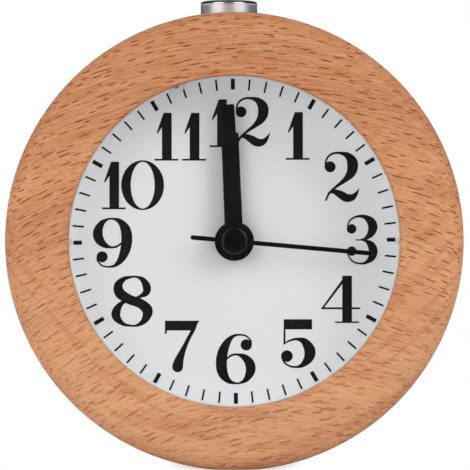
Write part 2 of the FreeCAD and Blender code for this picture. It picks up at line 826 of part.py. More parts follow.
def make_rear_cover():
    body = body_of("rear_cover")
    disc(body, "Flange", [recess_radius - size.fit_gap], cover_back, cover_front)
    disc(body, "Skirt", [fitted_radius, inner_skirt], cover_front, dial_back)
    block(body, "TrayBlock", grown(tray_sides, size.tray_wall), cover_front, tray_front)
    disc(body, "WellBlocks", [well_radius + size.well_wall], cover_front, well_front, knob_spots)
    posts = [(-size.post_across, size.post_rise), (size.post_across, size.post_rise)]
    disc(body, "Posts", [size.post_radius], cover_front, drive_back, posts)
    half = size.shelf_rib_width / 2
    for side, name in ((-1, "LeftRib"), (1, "RightRib")):
        middle = button_x + (size.board_width / 2 - size.shelf_rib_width) * side
        rib = rectangle(middle - half, middle + half, board_bottom - size.shelf_rib_height, board_bottom)
        block(body, name, rib, cover_front, board_front)
    window(body, "Tray", tray_sides, tray_floor, cover_back)
    window(body, "DoorRebate", grown(tray_sides, size.tray_wall), door_front, cover_back)
    bore(body, "Wells", well_radius, well_floor, cover_back, knob_spots)
    bore(body, "ArborHoles", arbor_hole, well_front, cover_back, knob_spots)
    sink = size.screw_head_radius + size.fit_gap
    seat = cover_back + size.screw_head_height
    sunk = bore(body, "ScrewSink", sink, seat, cover_back, ((screw_circle, NOTHING),), screw_turn)
    repeat(body, "ScrewSinks", sunk, size.cover_screws)
    make_switch_slot(body)
    make_sound_slots(body)
    hole = circles(
        body, "StemHoleCircle", [size.stem_radius + size.slide_gap],
        role="XZ_Plane", depth=-stem_end, spots=((button_x, NOTHING),),
    )
    feature(body, "Pocket", hole, "StemHole", bore_radius - stem_end)


def make_switch_slot(body):
    half_length = (size.switch_nub_length + size.switch_travel) / 2 + size.slide_gap
    half = size.switch_nub_width / 2 + size.slide_gap
    left, right = size.switch_across - half_length, size.switch_across + half_length
    slot = rectangle(left, right, size.switch_rise - half, size.switch_rise + half)
    window(body, "SwitchSlot", slot, cover_front, cover_back)


def make_sound_slots(body):
    half = size.sound_slot_length / 2
    spread = size.sound_slot_pitch * (size.sound_slots - 1) + size.sound_slot_width
    low = knob_rise - spread / 2
    slot = rectangle(buzzer_across - half, buzzer_across + half, low, low + size.sound_slot_width)
    cut = window(body, "SoundSlot", slot, cover_front, cover_back)
    repeat_up(body, "SoundSlots", cut, size.sound_slots, size.sound_slot_pitch)


def make_battery():
    body = body_of("battery", NOTHING, -size.battery_drop, battery_depth, SIDEWAYS)
    low = size.leaf_reach - tray_half_length
    high = low + size.battery_length - size.battery_nub_length
    disc(body, "Can", [size.battery_radius], low, high)
    dress(body, "Chamfer", "CanBevel", size.battery_bevel, rim(size.battery_radius, high))
    disc(body, "Nub", [size.battery_nub_radius], high, high + size.battery_nub_length)


def make_battery_contacts():
    thickness, half = size.contact_thickness, size.contact_width / 2
    plus = body_of("battery_contact_plus", tray_half_length, -size.battery_drop, battery_depth)
    block(plus, "Strip", rectangle(-thickness, NOTHING, -half, half), -half, half)
    minus = body_of("battery_contact_minus", -tray_half_length, -size.battery_drop, battery_depth)
    crest = size.leaf_reach - size.running_gap
    strip = [
        (NOTHING, -half),
        (thickness, -half),
        (crest, -thickness),
        (crest, thickness),
        (crest - thickness, thickness),
        (thickness, thickness * 2 - half),
        (thickness, half),
        (NOTHING, half),
    ]
    block(minus, "Leaf", strip, -half, half)


def make_battery_door():
    body = body_of("battery_door")
    block(body, "Door", grown(tray_sides, size.tray_wall - size.slide_gap), cover_back, door_front)
    half = size.grip_groove_length / 2
    groove, count = size.grip_groove_width, size.grip_grooves
    low = -size.battery_drop - groove * (count * 2 - 1) / 2
    sides = rectangle(-half, half, low, low + groove)
    cut = window(body, "GripGroove", sides, cover_back + size.grip_groove_depth, cover_back)
    repeat_up(body, "GripGrooves", cut, count, groove * 2)


def make_alarm_switch():
    body = body_of("alarm_switch")
    start = size.switch_across - size.switch_travel / 2
    half, half_width = size.switch_nub_length / 2, size.switch_nub_width / 2
    nub = rectangle(start - half, start + half, size.switch_rise - half_width, size.switch_rise + half_width)
    inner = cover_front + size.fit_gap
    block(body, "Nub", nub, cover_back, inner)
    block(body, "Plate", grown(nub, size.switch_lap), inner, inner + size.switch_plate)


# Snooze button: a metal cap on a stem whose foot is caught under the cover's rim. The stem runs
# in a guide that sits in the wood, and stops short of the switch below it.
def make_snooze_button():
    body = body_of("snooze_button", button_x, rotation=UPWARDS)
    disc(body, "Cap", [size.button_radius], skirt_bottom, button_crown)
    dress(body, "Chamfer", "CapBevel", size.button_bevel, rim(size.button_radius, button_crown))
    bore(body, "Hollow", size.button_radius - size.button_wall, button_under, skirt_bottom)

    body = body_of("button_stem", button_x, rotation=UPWARDS)
    disc(body, "Stem", [size.stem_radius], stem_end, button_under)
    disc(body, "Foot", [size.stem_radius + size.stem_lap], stem_end, stem_head_top)

    body = body_of("button_guide", button_x, rotation=UPWARDS)
    outer = size.button_radius + size.slide_gap - size.fit_gap
    disc(body, "Guide", [outer, size.stem_radius + size.stem_gap], bore_radius, guide_top)


def make_button_board():
    board = solid_of(
        "button_board", "Box", button_x - size.board_width / 2, board_bottom, cover_front,
        Length=size.board_width, Width=size.board_thickness, Height=board_front - cover_front,
    )
    piece(board, "button_board")
    half = size.tact_size / 2
    case = solid_of(
        "TactCase", "Box", button_x - half, board_top, -half,
        Length=size.tact_size, Width=size.tact_height, Height=size.tact_size,
    )
    key = solid_of(
        "TactKey", "Cylinder", button_x, board_top + size.tact_height, NOTHING, UPWARDS,
        Radius=size.tact_key_radius, Height=size.tact_key_height,
    )
    piece(joined("tact_switch", case, key), "tact_switch")


def make_buzzer():
    body = body_of("buzzer", buzzer_across, knob_rise)
    disc(body, "Can", [size.buzzer_radius], cover_front, cover_front + size.buzzer_height)


make_wood_case()
make_lens()
make_dial_ring()
make_dial_light()
make_dial_plate()
make_minute_hand()
make_hour_hand()
make_alarm_hand()
make_second_hand()
make_second_arbor()
make_cannon_pinion()
make_hour_wheel()
make_alarm_wheel()
make_minute_wheel()
make_setting_arbors()
make_knobs()
make_front_plate()
make_movement_housing()
make_rear_cover()
make_battery()
make_battery_contacts()
make_battery_door()
make_alarm_switch()
make_snooze_button()
make_button_board()
make_buzzer()
doc.recompute()

# Every object must have worked, every cut must have cut, and every piece must be sound.
faults = [f"{thing.Label}: {thing.State}" for thing in doc.Objects if {"Invalid", "Error"} & set(thing.State)]
for thing in doc.Objects:
    if thing.TypeId == "PartDesign::Pocket" and thing.Shape.Volume >= thing.BaseFeature.Shape.Volume:
        faults.append(f"{thing.Label} cuts nothing")
for thing in PIECES:
    shape = thing.Shape
    if shape.isNull() or not shape.isValid() or len(shape.Solids) != 1:
        faults.append(f"{thing.Label} is not one sound solid")
if faults:
    raise RuntimeError("; ".join(faults))

os.makedirs("parts", exist_ok=True)
for thing in PIECES:
    thing.Shape.exportStep(os.path.join("parts", f"{thing.Label}.step"))
print(f"{len(PIECES)} pieces, case {2 * case_radius.value:.2f} across and {case_depth.value:.2f} deep")
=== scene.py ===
# %% [markdown]
# # Round wooden desk alarm clock
# The real clock is a turned beech ring with a white dial behind flat glass, black hands, a chrome
# button on top and a moulded black back. The measured frame holds its pieces in metres, with the
# clock's axis along Y and the dial facing -Y. Most pieces keep the shape they have there and only
# get a finish. The case, three hands and the button are made again here, because their soft
# edges, pressed lines and knurling need more points than the frame's shapes have.

import math
from contextlib import contextmanager

import bmesh
import bpy
from mathutils import Matrix, Vector


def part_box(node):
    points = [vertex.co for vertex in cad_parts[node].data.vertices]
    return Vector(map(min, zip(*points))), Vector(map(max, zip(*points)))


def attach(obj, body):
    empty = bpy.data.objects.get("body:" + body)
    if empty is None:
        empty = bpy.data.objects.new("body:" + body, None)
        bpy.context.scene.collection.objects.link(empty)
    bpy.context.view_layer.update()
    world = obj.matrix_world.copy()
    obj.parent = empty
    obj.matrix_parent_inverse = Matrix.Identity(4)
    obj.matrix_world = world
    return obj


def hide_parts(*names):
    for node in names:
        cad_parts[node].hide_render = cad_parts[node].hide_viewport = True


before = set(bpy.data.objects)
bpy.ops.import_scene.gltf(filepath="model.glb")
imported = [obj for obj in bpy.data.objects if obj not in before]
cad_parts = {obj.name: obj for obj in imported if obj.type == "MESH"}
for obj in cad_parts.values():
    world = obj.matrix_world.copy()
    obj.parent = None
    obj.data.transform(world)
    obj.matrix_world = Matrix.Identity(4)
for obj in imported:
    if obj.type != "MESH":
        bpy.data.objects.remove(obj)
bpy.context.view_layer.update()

MM = 0.001
FULL = 2 * math.pi
CASE_LOW, CASE_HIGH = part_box("wood_case")
CASE_R = (CASE_HIGH.x - CASE_LOW.x) / 2
AXIS_Z = CASE_HIGH.z - CASE_R
FACE_Y = CASE_LOW.y
print("axis height", round(AXIS_Z / MM, 3), "case radius", round(CASE_R / MM, 3))

# %% [markdown]
# ## Nodes that read like sums
# A finish or a Geometry Nodes tree is mostly arithmetic on a place or an angle. Placed by hand,
# each sum would take several lines. Here a `Wire` stands for one output of a node, and each
# + - * / with it adds the Math node that works it out, so a tree can be read as a formula.


# %% Fill inputs and add nodes
def fill(node, inputs):
    """Give a node's inputs, by name or number, a wire or a plain value each."""
    for key, value in inputs.items():
        socket = node.inputs[key]
        if isinstance(value, Wire):
            node.id_data.links.new(value.socket, socket)
        elif socket.type == "RGBA":
            socket.default_value = (*value, 1.0)
        else:
            socket.default_value = value


def add_node(tree, kind, inputs=None, **settings):
    """A node in the next free spot of a grid, with its settings and its inputs."""
    node = tree.nodes.new(kind)
    column, row = divmod(len(tree.nodes), 8)
    node.location = (220 * column, -280 * row)
    for key, value in settings.items():
        setattr(node, key, value)
    fill(node, inputs or {})
    return node


def math_node(tree, operation, *values, clamp=False):
    inputs = dict(enumerate(values))
    return Wire(add_node(tree, "ShaderNodeMath", inputs, operation=operation, use_clamp=clamp))


# %% Wires
class Wire:
    """One output of a node. A sum with it adds a Math node to the same tree."""

    def __init__(self, node, key=0):
        self.tree, self.socket = node.id_data, node.outputs[key]

    def math(self, operation, *others, clamp=False):
        return math_node(self.tree, operation, self, *others, clamp=clamp)

    def times_plus(self, factor, offset):
        return self.math("MULTIPLY_ADD", factor, offset)

    def __add__(self, other):
        return self.math("ADD", other)

    def __sub__(self, other):
        return self.math("SUBTRACT", other)

    def __rsub__(self, other):
        return math_node(self.tree, "SUBTRACT", other, self)

    def __mul__(self, other):
        return self.math("MULTIPLY", other)

    def __truediv__(self, other):
        return self.math("DIVIDE", other)

    def __rtruediv__(self, other):
        return math_node(self.tree, "DIVIDE", other, self)

    def ramp(self, low, high):
        """0 at low and beyond it, 1 at high and beyond it, straight between them."""
        inputs = {"Value": self, "From Min": low, "From Max": high}
        return Wire(add_node(self.tree, "ShaderNodeMapRange", inputs, clamp=True), "Result")


# %% Places, noise and colours
def object_place(tree):
    """Where a point is on its own piece, so a pattern moves with the piece."""
    return Wire(add_node(tree, "ShaderNodeTexCoord"), "Object")


def split(vector):
    node = add_node(vector.tree, "ShaderNodeSeparateXYZ", {0: vector})
    return [Wire(node, axis) for axis in range(3)]


def join(tree, x=0.0, y=0.0, z=0.0):
    return Wire(add_node(tree, "ShaderNodeCombineXYZ", {0: x, 1: y, 2: z}))


def vector_math(operation, vector, *others):
    inputs = dict(enumerate((vector, *others)))
    node = add_node(vector.tree, "ShaderNodeVectorMath", inputs, operation=operation)
    return Wire(node, "Value" if operation == "LENGTH" else "Vector")


def mapping(vector, **inputs):
    return Wire(add_node(vector.tree, "ShaderNodeMapping", {"Vector": vector, **inputs}))


def noise(vector, scale, detail, rough):
    inputs = {"Vector": vector, "Scale": scale, "Detail": detail, "Roughness": rough}
    return Wire(add_node(vector.tree, "ShaderNodeTexNoise", inputs), "Fac")


def mix_colour(factor, first, second):
    """The first colour where the factor is 0 and the second where it is 1."""
    inputs = {0: factor, 6: first, 7: second}
    return Wire(add_node(factor.tree, "ShaderNodeMix", inputs, data_type="RGBA"), 2)


# %% Node groups with named inputs
SOCKET_KINDS = {float: "NodeSocketFloat", int: "NodeSocketInt", tuple: "NodeSocketVector"}


def new_group(name, inputs, outputs=()):
    """A shader group with number outputs, or a geometry tree where no output is named.

    It comes with the wires of its inputs, its end node and the inputs' identifiers.
    """
    family = "ShaderNodeTree" if outputs else "GeometryNodeTree"
    tree = bpy.data.node_groups.new(name, family)
    identifiers = {}
    for label, default in inputs.items():
        kind = SOCKET_KINDS[type(default)]
        socket = tree.interface.new_socket(label, in_out="INPUT", socket_type=kind)
        socket.default_value = default
        identifiers[label] = socket.identifier
    kind = "NodeSocketFloat" if outputs else "NodeSocketGeometry"
    for label in outputs or ("Geometry",):
        tree.interface.new_socket(label, in_out="OUTPUT", socket_type=kind)
    start = tree.nodes.new("NodeGroupInput")
    wires = {label: Wire(start, label) for label in inputs}
    return tree, wires, tree.nodes.new("NodeGroupOutput"), identifiers


# %% [markdown]
# ## Fine wear
# Plastic, paint and metal on a used clock are never quite even. They have soft lighter clouds, a
# few rubbed scratches and a fine surface. Each finish could have its own noise, but one group
# with named inputs does it for all of them, and every finish sets the size of its grain.


# %% Group: fine wear
def build_fine_wear():
    inputs = {"Cloud Scale": 60.0, "Grain Scale": 2500.0}
    tree, get, end, _ = new_group("fine_wear", inputs, ("Cloud", "Scuff", "Height"))
    place = object_place(tree)
    cloud = noise(place, get["Cloud Scale"], 4.0, 0.55)
    scratch = noise(mapping(place, Scale=(1.0, 1.0, 0.08)), 1800.0, 3.0, 0.7)
    fill(end, {
        "Cloud": cloud,
        "Scuff": scratch.ramp(0.58, 0.72) * cloud,
        "Height": noise(place, get["Grain Scale"], 2.0, 0.6),
    })
    return tree


FINE_WEAR = build_fine_wear()
print("fine wear has", len(FINE_WEAR.nodes), "nodes")

# %% [markdown]
# ## Beech pores
# A beech face is covered with short thin dashes, the cut ends of its rays and pores. A noise can't
# make separate marks, so the group uses Voronoi cells, stretched along the grain, with one small
# ellipse in each cell. Each cell's random colour gives the length of its mark and hides some.


# %% Group: beech pores
def build_grain_dashes():
    """Thin dashes along the first axis of the given place, which is in millimetres."""
    origin = (0.0, 0.0, 0.0)
    inputs = {"Place": origin, "Length": 3.6, "Pitch": 1.5, "Depth": 0.6, "Thickness": 0.088}
    tree, get, end, _ = new_group("grain_dashes", inputs, ("Mask", "Pick"))
    along, deep, across = split(get["Place"])
    grid = join(tree, along / get["Length"], deep / get["Depth"], across / get["Pitch"])
    cells = add_node(tree, "ShaderNodeTexVoronoi", {"Vector": grid, "Scale": 1.0}, feature="F1")
    gap_along, gap_deep, gap_across = split(vector_math("SUBTRACT", grid, Wire(cells, "Position")))
    chance = add_node(tree, "ShaderNodeSeparateColor", {0: Wire(cells, "Color")})
    ends = gap_along / Wire(chance, 0).times_plus(0.24, 0.17)
    sides = gap_across / get["Thickness"]
    depth = gap_deep / 1.3
    away = ends * ends + sides * sides + depth * depth
    fill(end, {
        "Mask": (1.0 - away.ramp(0.70, 1.10)) * Wire(chance, 1).ramp(0.12, 0.2),
        "Pick": Wire(chance, 2),
    })
    return tree


GRAIN_DASHES = build_grain_dashes()
print("beech pores have", len(GRAIN_DASHES.nodes), "nodes")


# %% A new material
def new_material(name, **inputs):
    """A material, its Principled shader and its end node."""
    material = bpy.data.materials.new(name)
    material.use_nodes = True
    tree = material.node_tree
    tree.nodes.clear()
    shader = add_node(tree, "ShaderNodeBsdfPrincipled", inputs)
    return material, shader, add_node(tree, "ShaderNodeOutputMaterial", {0: Wire(shader)})


def add_bump(shader, height, strength, distance):
    inputs = {"Strength": strength, "Distance": distance, "Height": height}
    fill(shader, {"Normal": Wire(add_node(shader.id_data, "ShaderNodeBump", inputs))})


# %% [markdown]
# ## Beech
# The case is oiled beech, cut so that its pores run across the face in shallow arches, while the
# growth rings cross them as wide, faint U shapes. The top of the ring is redder, the foot is
# paler and has a few broad slanted marks. A photograph of wood would stretch round the edge, so
# the wood is worked out from each point's place in millimetres, as if cut from a solid block.


# %% Along and across the grain
# in millimetres: how far aside the arches peak, how far they wander and how ragged they are
ARCH_ASIDE, WANDER, RAGGED = 7.0, 7.0, 0.32
# rise for each square millimetre aside, that of the arches with its change over the height first
ARCH_BEND, RING_BOWL = (-0.00004, 0.0056), -0.013
# noise cells for each millimetre to the side, in depth and in height
RING_SCALE = (0.02, 0.03, 0.16)


def beech_axes(tree):
    """X, Y and the height over the clock's axis in millimetres, and the place in the grain."""
    place = object_place(tree)
    x, y, z = split(place)
    x, y, z = x * 1000.0, y * 1000.0, z.times_plus(1000.0, -AXIS_Z / MM)
    # the arches grow steeper towards the foot
    aside = x - ARCH_ASIDE
    arch = aside * aside * z.times_plus(*ARCH_BEND)
    wander = noise(place, 14.0, 2.0, 0.5) * WANDER + noise(place, 520.0, 2.0, 0.6) * RAGGED
    return x, y, z, join(tree, x, y, z + arch + wander)


def growth_rings(x, y, z):
    """1 along thin lines that hang across the face in wide U shapes."""
    bowl = (x * x).times_plus(RING_BOWL, z)
    place = (axis * scale for axis, scale in zip((x, y, bowl), RING_SCALE))
    rings = noise(join(x.tree, *place), 1.0, 2.0, 0.5)
    return 1.0 - (rings - 0.5).math("ABSOLUTE").ramp(0.0, 0.045)


# %% Three kinds of pores
# length, pitch and thickness of the marks in millimetres
LONG_MARKS = (3.6, 1.5, 0.088)
SHORT_MARKS = (2.4, 1.0, 0.060)
BROAD_MARKS = (4.4, 2.3, 0.100)
BROAD_SLANT = math.radians(14.0)
# between these heights over the axis the foot's own marks take over
LOW_FOOT = (0.0, -34.0)


def dashes(place, length, pitch, thickness):
    inputs = {"Place": place, "Length": length, "Pitch": pitch, "Thickness": thickness}
    return add_node(place.tree, "ShaderNodeGroup", inputs, node_tree=GRAIN_DASHES)


def beech_pores(grain, z):
    """Long and short marks everywhere, and broad slanted ones towards the foot."""
    long = dashes(grain, *LONG_MARKS)
    short = dashes(vector_math("ADD", grain, (31.7, 5.3, 17.9)), *SHORT_MARKS)
    slanted = mapping(grain, Location=(11.3, 2.1, 47.9), Rotation=(0.0, BROAD_SLANT, 0.0))
    broad = dashes(slanted, *BROAD_MARKS)
    low_foot = z.ramp(*LOW_FOOT)
    first = Wire(long, "Mask") * Wire(long, "Pick").times_plus(0.15, 0.85)
    thin = first.math("MAXIMUM", Wire(short, "Mask") * 0.55) * low_foot.times_plus(-0.55, 1.0)
    return thin.math("MAXIMUM", Wire(broad, "Mask") * low_foot * 0.55)


# %% Beech
RED_BEECH = (0.462, 0.152, 0.048)
WARM_BEECH = (0.636, 0.270, 0.106)
PALE_BEECH = (0.775, 0.420, 0.215)
BLEACHED_BEECH = (0.800, 0.465, 0.270)
PORE_BROWN = (0.260, 0.042, 0.003)
# heights over the axis, in millimetres, where the foot grows paler and the top redder
FOOT, CREST = (16.0, -34.0), (8.0, 30.0)
# noise cells for each millimetre along, through and across the grain
BAND_SCALE, FIBRE_SCALE = (0.018, 0.12, 0.16), (0.12, 1.6, 2.6)


def build_beech():
    material, shader, _ = new_material("beech")
    x, y, z, grain = beech_axes(shader.id_data)
    bands = noise(mapping(grain, Scale=BAND_SCALE), 1.0, 4.0, 0.55)
    fibres = noise(mapping(grain, Scale=FIBRE_SCALE), 1.0, 5.0, 0.65)
    streaks = fibres.ramp(0.36, 0.66)
    pores = beech_pores(grain, z)
    colour = mix_colour(bands.ramp(0.34, 0.62), RED_BEECH, WARM_BEECH)
    for share, tone in (
        (z.ramp(*FOOT) * 0.42, PALE_BEECH),
        (growth_rings(x, y, z) * 0.60, RED_BEECH),
        (z.ramp(*CREST) * 0.48, RED_BEECH),
        (streaks * 0.50, BLEACHED_BEECH),
        (pores, PORE_BROWN),
    ):
        colour = mix_colour(share, colour, tone)
    fill(shader, {
        "Base Color": colour,
        "Roughness": streaks.times_plus(0.12, 0.50),
        "Specular IOR Level": 0.32,
    })
    add_bump(shader, fibres - pores * 0.9, 0.25, 0.08 * MM)
    return material


BEECH = build_beech()
print("beech has", len(BEECH.node_tree.nodes), "nodes")

# %% [markdown]
# ## Glass
# The window is a flat disc of clear glass. Real glass lets daylight through to the dial, but a
# path tracer would need very many light paths to find that. So the glass is clear, and plainly
# transparent where a shadow or a scattered ray passes, which keeps the dial evenly lit.


# %% Glass
def build_glass():
    material, shader, end = new_material("lens_glass", Roughness=0.0)
    fill(shader, {"Base Color": (0.97, 0.985, 0.985), "Transmission Weight": 1.0, "IOR": 1.46})
    path = add_node(shader.id_data, "ShaderNodeLightPath")
    through = Wire(path, "Is Shadow Ray").math("MAXIMUM", Wire(path, "Is Diffuse Ray"))
    clear = add_node(through.tree, "ShaderNodeBsdfTransparent")
    inputs = {0: through, 1: Wire(shader), 2: Wire(clear)}
    fill(end, {0: Wire(add_node(through.tree, "ShaderNodeMixShader", inputs))})
    return material


GLASS = build_glass()
print("glass has", len(GLASS.node_tree.nodes), "nodes")

# %% [markdown]
# ## Dial and light
# The dial is a printed silvery white. Towards its rim, where the window's edge shades it, a painted
# shade tint turns it slightly blue, so its colour follows the distance from the axis. The small
# light is a grey lens in a white sleeve. Both are one solid in the frame, so circles round the
# lens's middle part them.


# %% Dial face
# distances from the axis over which the painted shade tint comes in towards the dial's rim
RIM_SHADE_TINT = (20.0 * MM, 33.0 * MM)


def build_dial_face():
    material, shader, _ = new_material("dial_white", Roughness=0.55)
    place = object_place(shader.id_data)
    x, _, z = split(place)
    up = z - AXIS_Z
    radius = (x * x + up * up).math("SQRT")
    fleck = noise(place, 900.0, 3.0, 0.6)
    inner = mix_colour(fleck, (0.880, 0.882, 0.888), (0.915, 0.916, 0.918))
    # painted shade: this bluer rim colour stands in for the shade of the window's edge
    rim = (0.915, 0.932, 0.950)
    fill(shader, {"Base Color": mix_colour(radius.ramp(*RIM_SHADE_TINT), inner, rim)})
    add_bump(shader, fleck, 0.08, 0.02 * MM)
    return material


DIAL = build_dial_face()

# %% Light lens
LENS_PLACE_R = 32.95 * MM
LENS_EDGE = (0.30 * MM, 0.55 * MM)
SLEEVE_EDGE = (0.72 * MM, 0.82 * MM)


def build_light_lens():
    material, shader, _ = new_material("light_lens", Roughness=0.3)
    low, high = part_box("dial_light")
    middle = (low + high) / 2
    out = Vector((middle.x, 0.0, middle.z - AXIS_Z)).normalized() * LENS_PLACE_R
    centre = (-out.x, 0.0, -out.z - AXIS_Z)
    flat = vector_math("MULTIPLY_ADD", object_place(shader.id_data), (1.0, 0.0, 1.0), centre)
    away = vector_math("LENGTH", flat)
    grey = mix_colour(away.ramp(*LENS_EDGE), (0.060, 0.045, 0.040), (0.300, 0.300, 0.310))
    fill(shader, {"Base Color": mix_colour(away.ramp(*SLEEVE_EDGE), grey, (0.780, 0.790, 0.800))})
    return material


LIGHT_LENS = build_light_lens()
print("dial and light have", len(DIAL.node_tree.nodes) + len(LIGHT_LENS.node_tree.nodes), "nodes")

# %% [markdown]
# ## Plain finishes
# Ink, paint, moulded plastic and metal differ in colour, shine and grain, but age in the same
# way. One function makes them all from the wear group, and a table holds what differs.


# %% One function for plain finishes
def worn_material(name, colour, pale, rough, bump, metallic=0.0, grain=2500.0, coat=0.0,
                  shine=0.5):
    """A finish with soft paler clouds, faint scuffs and a fine surface."""
    material, shader, _ = new_material(name)
    inputs = {"Grain Scale": grain}
    wear = add_node(shader.id_data, "ShaderNodeGroup", inputs, node_tree=FINE_WEAR)
    cloud = Wire(wear, "Cloud")
    clouded = mix_colour(cloud.ramp(0.35, 0.7), colour, pale)
    rubbed = tuple(min(1.0, c * 1.25 + 0.01) for c in pale)
    low, high = rough
    fill(shader, {
        "Base Color": mix_colour(Wire(wear, "Scuff"), clouded, rubbed),
        "Roughness": cloud.times_plus(high - low, low),
        "Metallic": metallic,
        "Coat Weight": coat,
        "Specular IOR Level": shine,
    })
    add_bump(shader, Wire(wear, "Height"), bump, 0.05 * MM)
    return material


# %% Table of plain finishes
METAL = {"metallic": 1.0}
# name, colour, colour of its paler clouds, roughness from and to, bump, and what else differs
FINISHES = (
    ("dial_ink", (0.008, 0.007, 0.009), (0.012, 0.011, 0.013), (0.50, 0.65), 0.05, {"shine": 0.05}),
    ("ring_white", (0.84, 0.85, 0.86), (0.89, 0.90, 0.90), (0.40, 0.55), 0.08, {}),
    ("hand_black", (0.004, 0.004, 0.004), (0.007, 0.007, 0.007), (0.2, 0.3), 0.06, {"shine": 0.2}),
    ("cap_black", (0.003, 0.003, 0.003), (0.006, 0.006, 0.006), (0.1, 0.18), 0.04, {"shine": 0.25}),
    ("cover_black", (0.02, 0.02, 0.022), (0.034, 0.034, 0.036), (0.52, 0.75), 0.6, {"grain": 5200}),
    ("movement_black", (0.016, 0.016, 0.017), (0.026, 0.026, 0.027), (0.45, 0.60), 0.3, {}),
    ("knob_black", (0.028, 0.028, 0.030), (0.045, 0.045, 0.047), (0.38, 0.52), 0.2, {}),
    ("switch_grey", (0.36, 0.36, 0.36), (0.46, 0.46, 0.45), (0.40, 0.55), 0.2, {}),
    ("gear_white", (0.74, 0.74, 0.70), (0.84, 0.84, 0.80), (0.32, 0.46), 0.08, {}),
    ("battery_grey", (0.27, 0.28, 0.30), (0.34, 0.35, 0.37), (0.20, 0.34), 0.05, {"coat": 0.6}),
    ("board_green", (0.018, 0.12, 0.045), (0.03, 0.17, 0.07), (0.25, 0.40), 0.15, {"coat": 0.4}),
    ("spring_metal", (0.62, 0.62, 0.60), (0.75, 0.75, 0.73), (0.18, 0.34), 0.1, METAL),
    ("screw_steel", (0.30, 0.30, 0.31), (0.42, 0.42, 0.42), (0.25, 0.42), 0.15, METAL),
    ("chrome", (0.80, 0.80, 0.81), (0.86, 0.86, 0.87), (0.03, 0.07), 0.05, METAL),
)
FINISH = {"lens_glass": GLASS, "dial_white": DIAL, "light_lens": LIGHT_LENS}
for *looks, more in FINISHES:
    FINISH[looks[0]] = worn_material(*looks, **more)
print(len(FINISH) + 1, "finishes")

# %% Finishes for the frame's own pieces
OWN_PIECES = {
    "lens_glass": ("lens",),
    "ring_white": ("dial_ring",),
    "light_lens": ("dial_light",),
    "dial_white": ("dial_plate",),
    "movement_black": ("movement_front_plate", "movement_housing", "button_guide"),
    "cover_black": ("rear_cover", "battery_door"),
    "battery_grey": ("battery",),
    "spring_metal": ("battery_contact_plus", "battery_contact_minus", "second_arbor"),
    "board_green": ("button_board",),
    "knob_black": ("tact_switch", "buzzer", "time_set_knob", "alarm_set_knob", "button_stem"),
    "gear_white": ("cannon_pinion", "hour_wheel", "alarm_wheel", "minute_wheel",
                   "time_set_arbor", "alarm_set_arbor"),
    "hand_black": ("alarm_hand",),
    "switch_grey": ("alarm_switch",),
}
for name, nodes in OWN_PIECES.items():
    for node in nodes:
        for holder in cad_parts[node].material_slots:
            holder.link = "OBJECT"
            holder.material = FINISH[name]
print(sum(len(nodes) for nodes in OWN_PIECES.values()), "pieces of the frame have their finish")

# %% [markdown]
# ## Wooden case
# A woodturner makes this ring on a lathe, and so does the script: one outline of radius and depth
# goes round the clock's axis. It has the large rounding at the front, the soft lip round the
# window, the bore for the dial and the step for the back. Points below the resting flat move up
# onto it. A Boolean cuts the button's hole, because it crosses the turned shape at a right angle.


# %% Mesh helpers
@contextmanager
def open_mesh(piece):
    """A piece's mesh, open for changes, which are kept when the block ends."""
    bm = bmesh.new()
    bm.from_mesh(piece.data)
    yield bm
    bm.to_mesh(piece.data)
    bm.free()


def make_piece(name, points, faces, material, smooth=True):
    """A mesh whose place is in its points, on an object that stays at the origin."""
    mesh = bpy.data.meshes.new(name)
    mesh.from_pydata([tuple(p) for p in points], [], faces)
    mesh.validate()
    mesh.update()
    mesh.materials.append(material)
    mesh.polygons.foreach_set("use_smooth", [smooth] * len(mesh.polygons))
    piece = bpy.data.objects.new(name, mesh)
    bpy.context.scene.collection.objects.link(piece)
    return piece


def bake(piece):
    """Put the result of a piece's modifiers in place of its mesh, and remove them."""
    evaluated = piece.evaluated_get(bpy.context.evaluated_depsgraph_get())
    piece.data = bpy.data.meshes.new_from_object(evaluated)
    piece.modifiers.clear()


def face_outward(piece):
    with open_mesh(piece) as bm:
        bmesh.ops.recalc_face_normals(bm, faces=bm.faces)


def sharpen(piece, degrees):
    """Edges steeper than this angle stay sharp; the rest shade smoothly."""
    with open_mesh(piece) as bm:
        for edge in bm.edges:
            flat = edge.calc_face_angle(0) < math.radians(degrees)
            edge.smooth = len(edge.link_faces) == 2 and flat


# %% Turned and skinned shapes
def turn_profile(points, faces, profile, steps, place, closed=True):
    """Add a profile spun round an axis. Place turns an angle and a profile entry into a point."""
    first, count = len(points), len(profile)
    for i in range(steps):
        points.extend(place(FULL * i / steps, *entry) for entry in profile)
    for i in range(steps):
        a, b = first + i * count, first + (i + 1) % steps * count
        for k in range(count if closed else count - 1):
            n = (k + 1) % count
            faces.append((a + k, a + n, b + n, b + k))


def skin_rings(points, faces, rings):
    """Add rings of as many points each, join each to the next and close both ends."""
    first, count = len(points), len(rings[0])
    for ring in rings:
        points.extend(ring)
    for a in range(first, len(points) - count, count):
        for i in range(count):
            j = (i + 1) % count
            faces.append((a + i, a + j, a + count + j, a + count + i))
    faces.append(tuple(range(first, first + count)))
    faces.append(tuple(range(len(points) - 1, len(points) - 1 - count, -1)))


def round_axis(angle, radius, y):
    """A point round the clock's axis, clockwise from the top as seen from the front."""
    return Vector((radius * math.sin(angle), y, AXIS_Z + radius * math.cos(angle)))


# %% Outline of the case
WINDOW_R = 32.45 * MM
BORE_R = 35.5 * MM
RECESS_R = 39.0 * MM
LIP_BACK_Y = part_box("lens")[0].y
BACK_Y = CASE_HIGH.y
LEDGE_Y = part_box("rear_cover")[1].y - 2.0 * MM
ROUND = 4.0 * MM
LIP = 0.45 * MM
BACK_ROUND = 1.5 * MM
BACK_BEVEL = 0.3 * MM


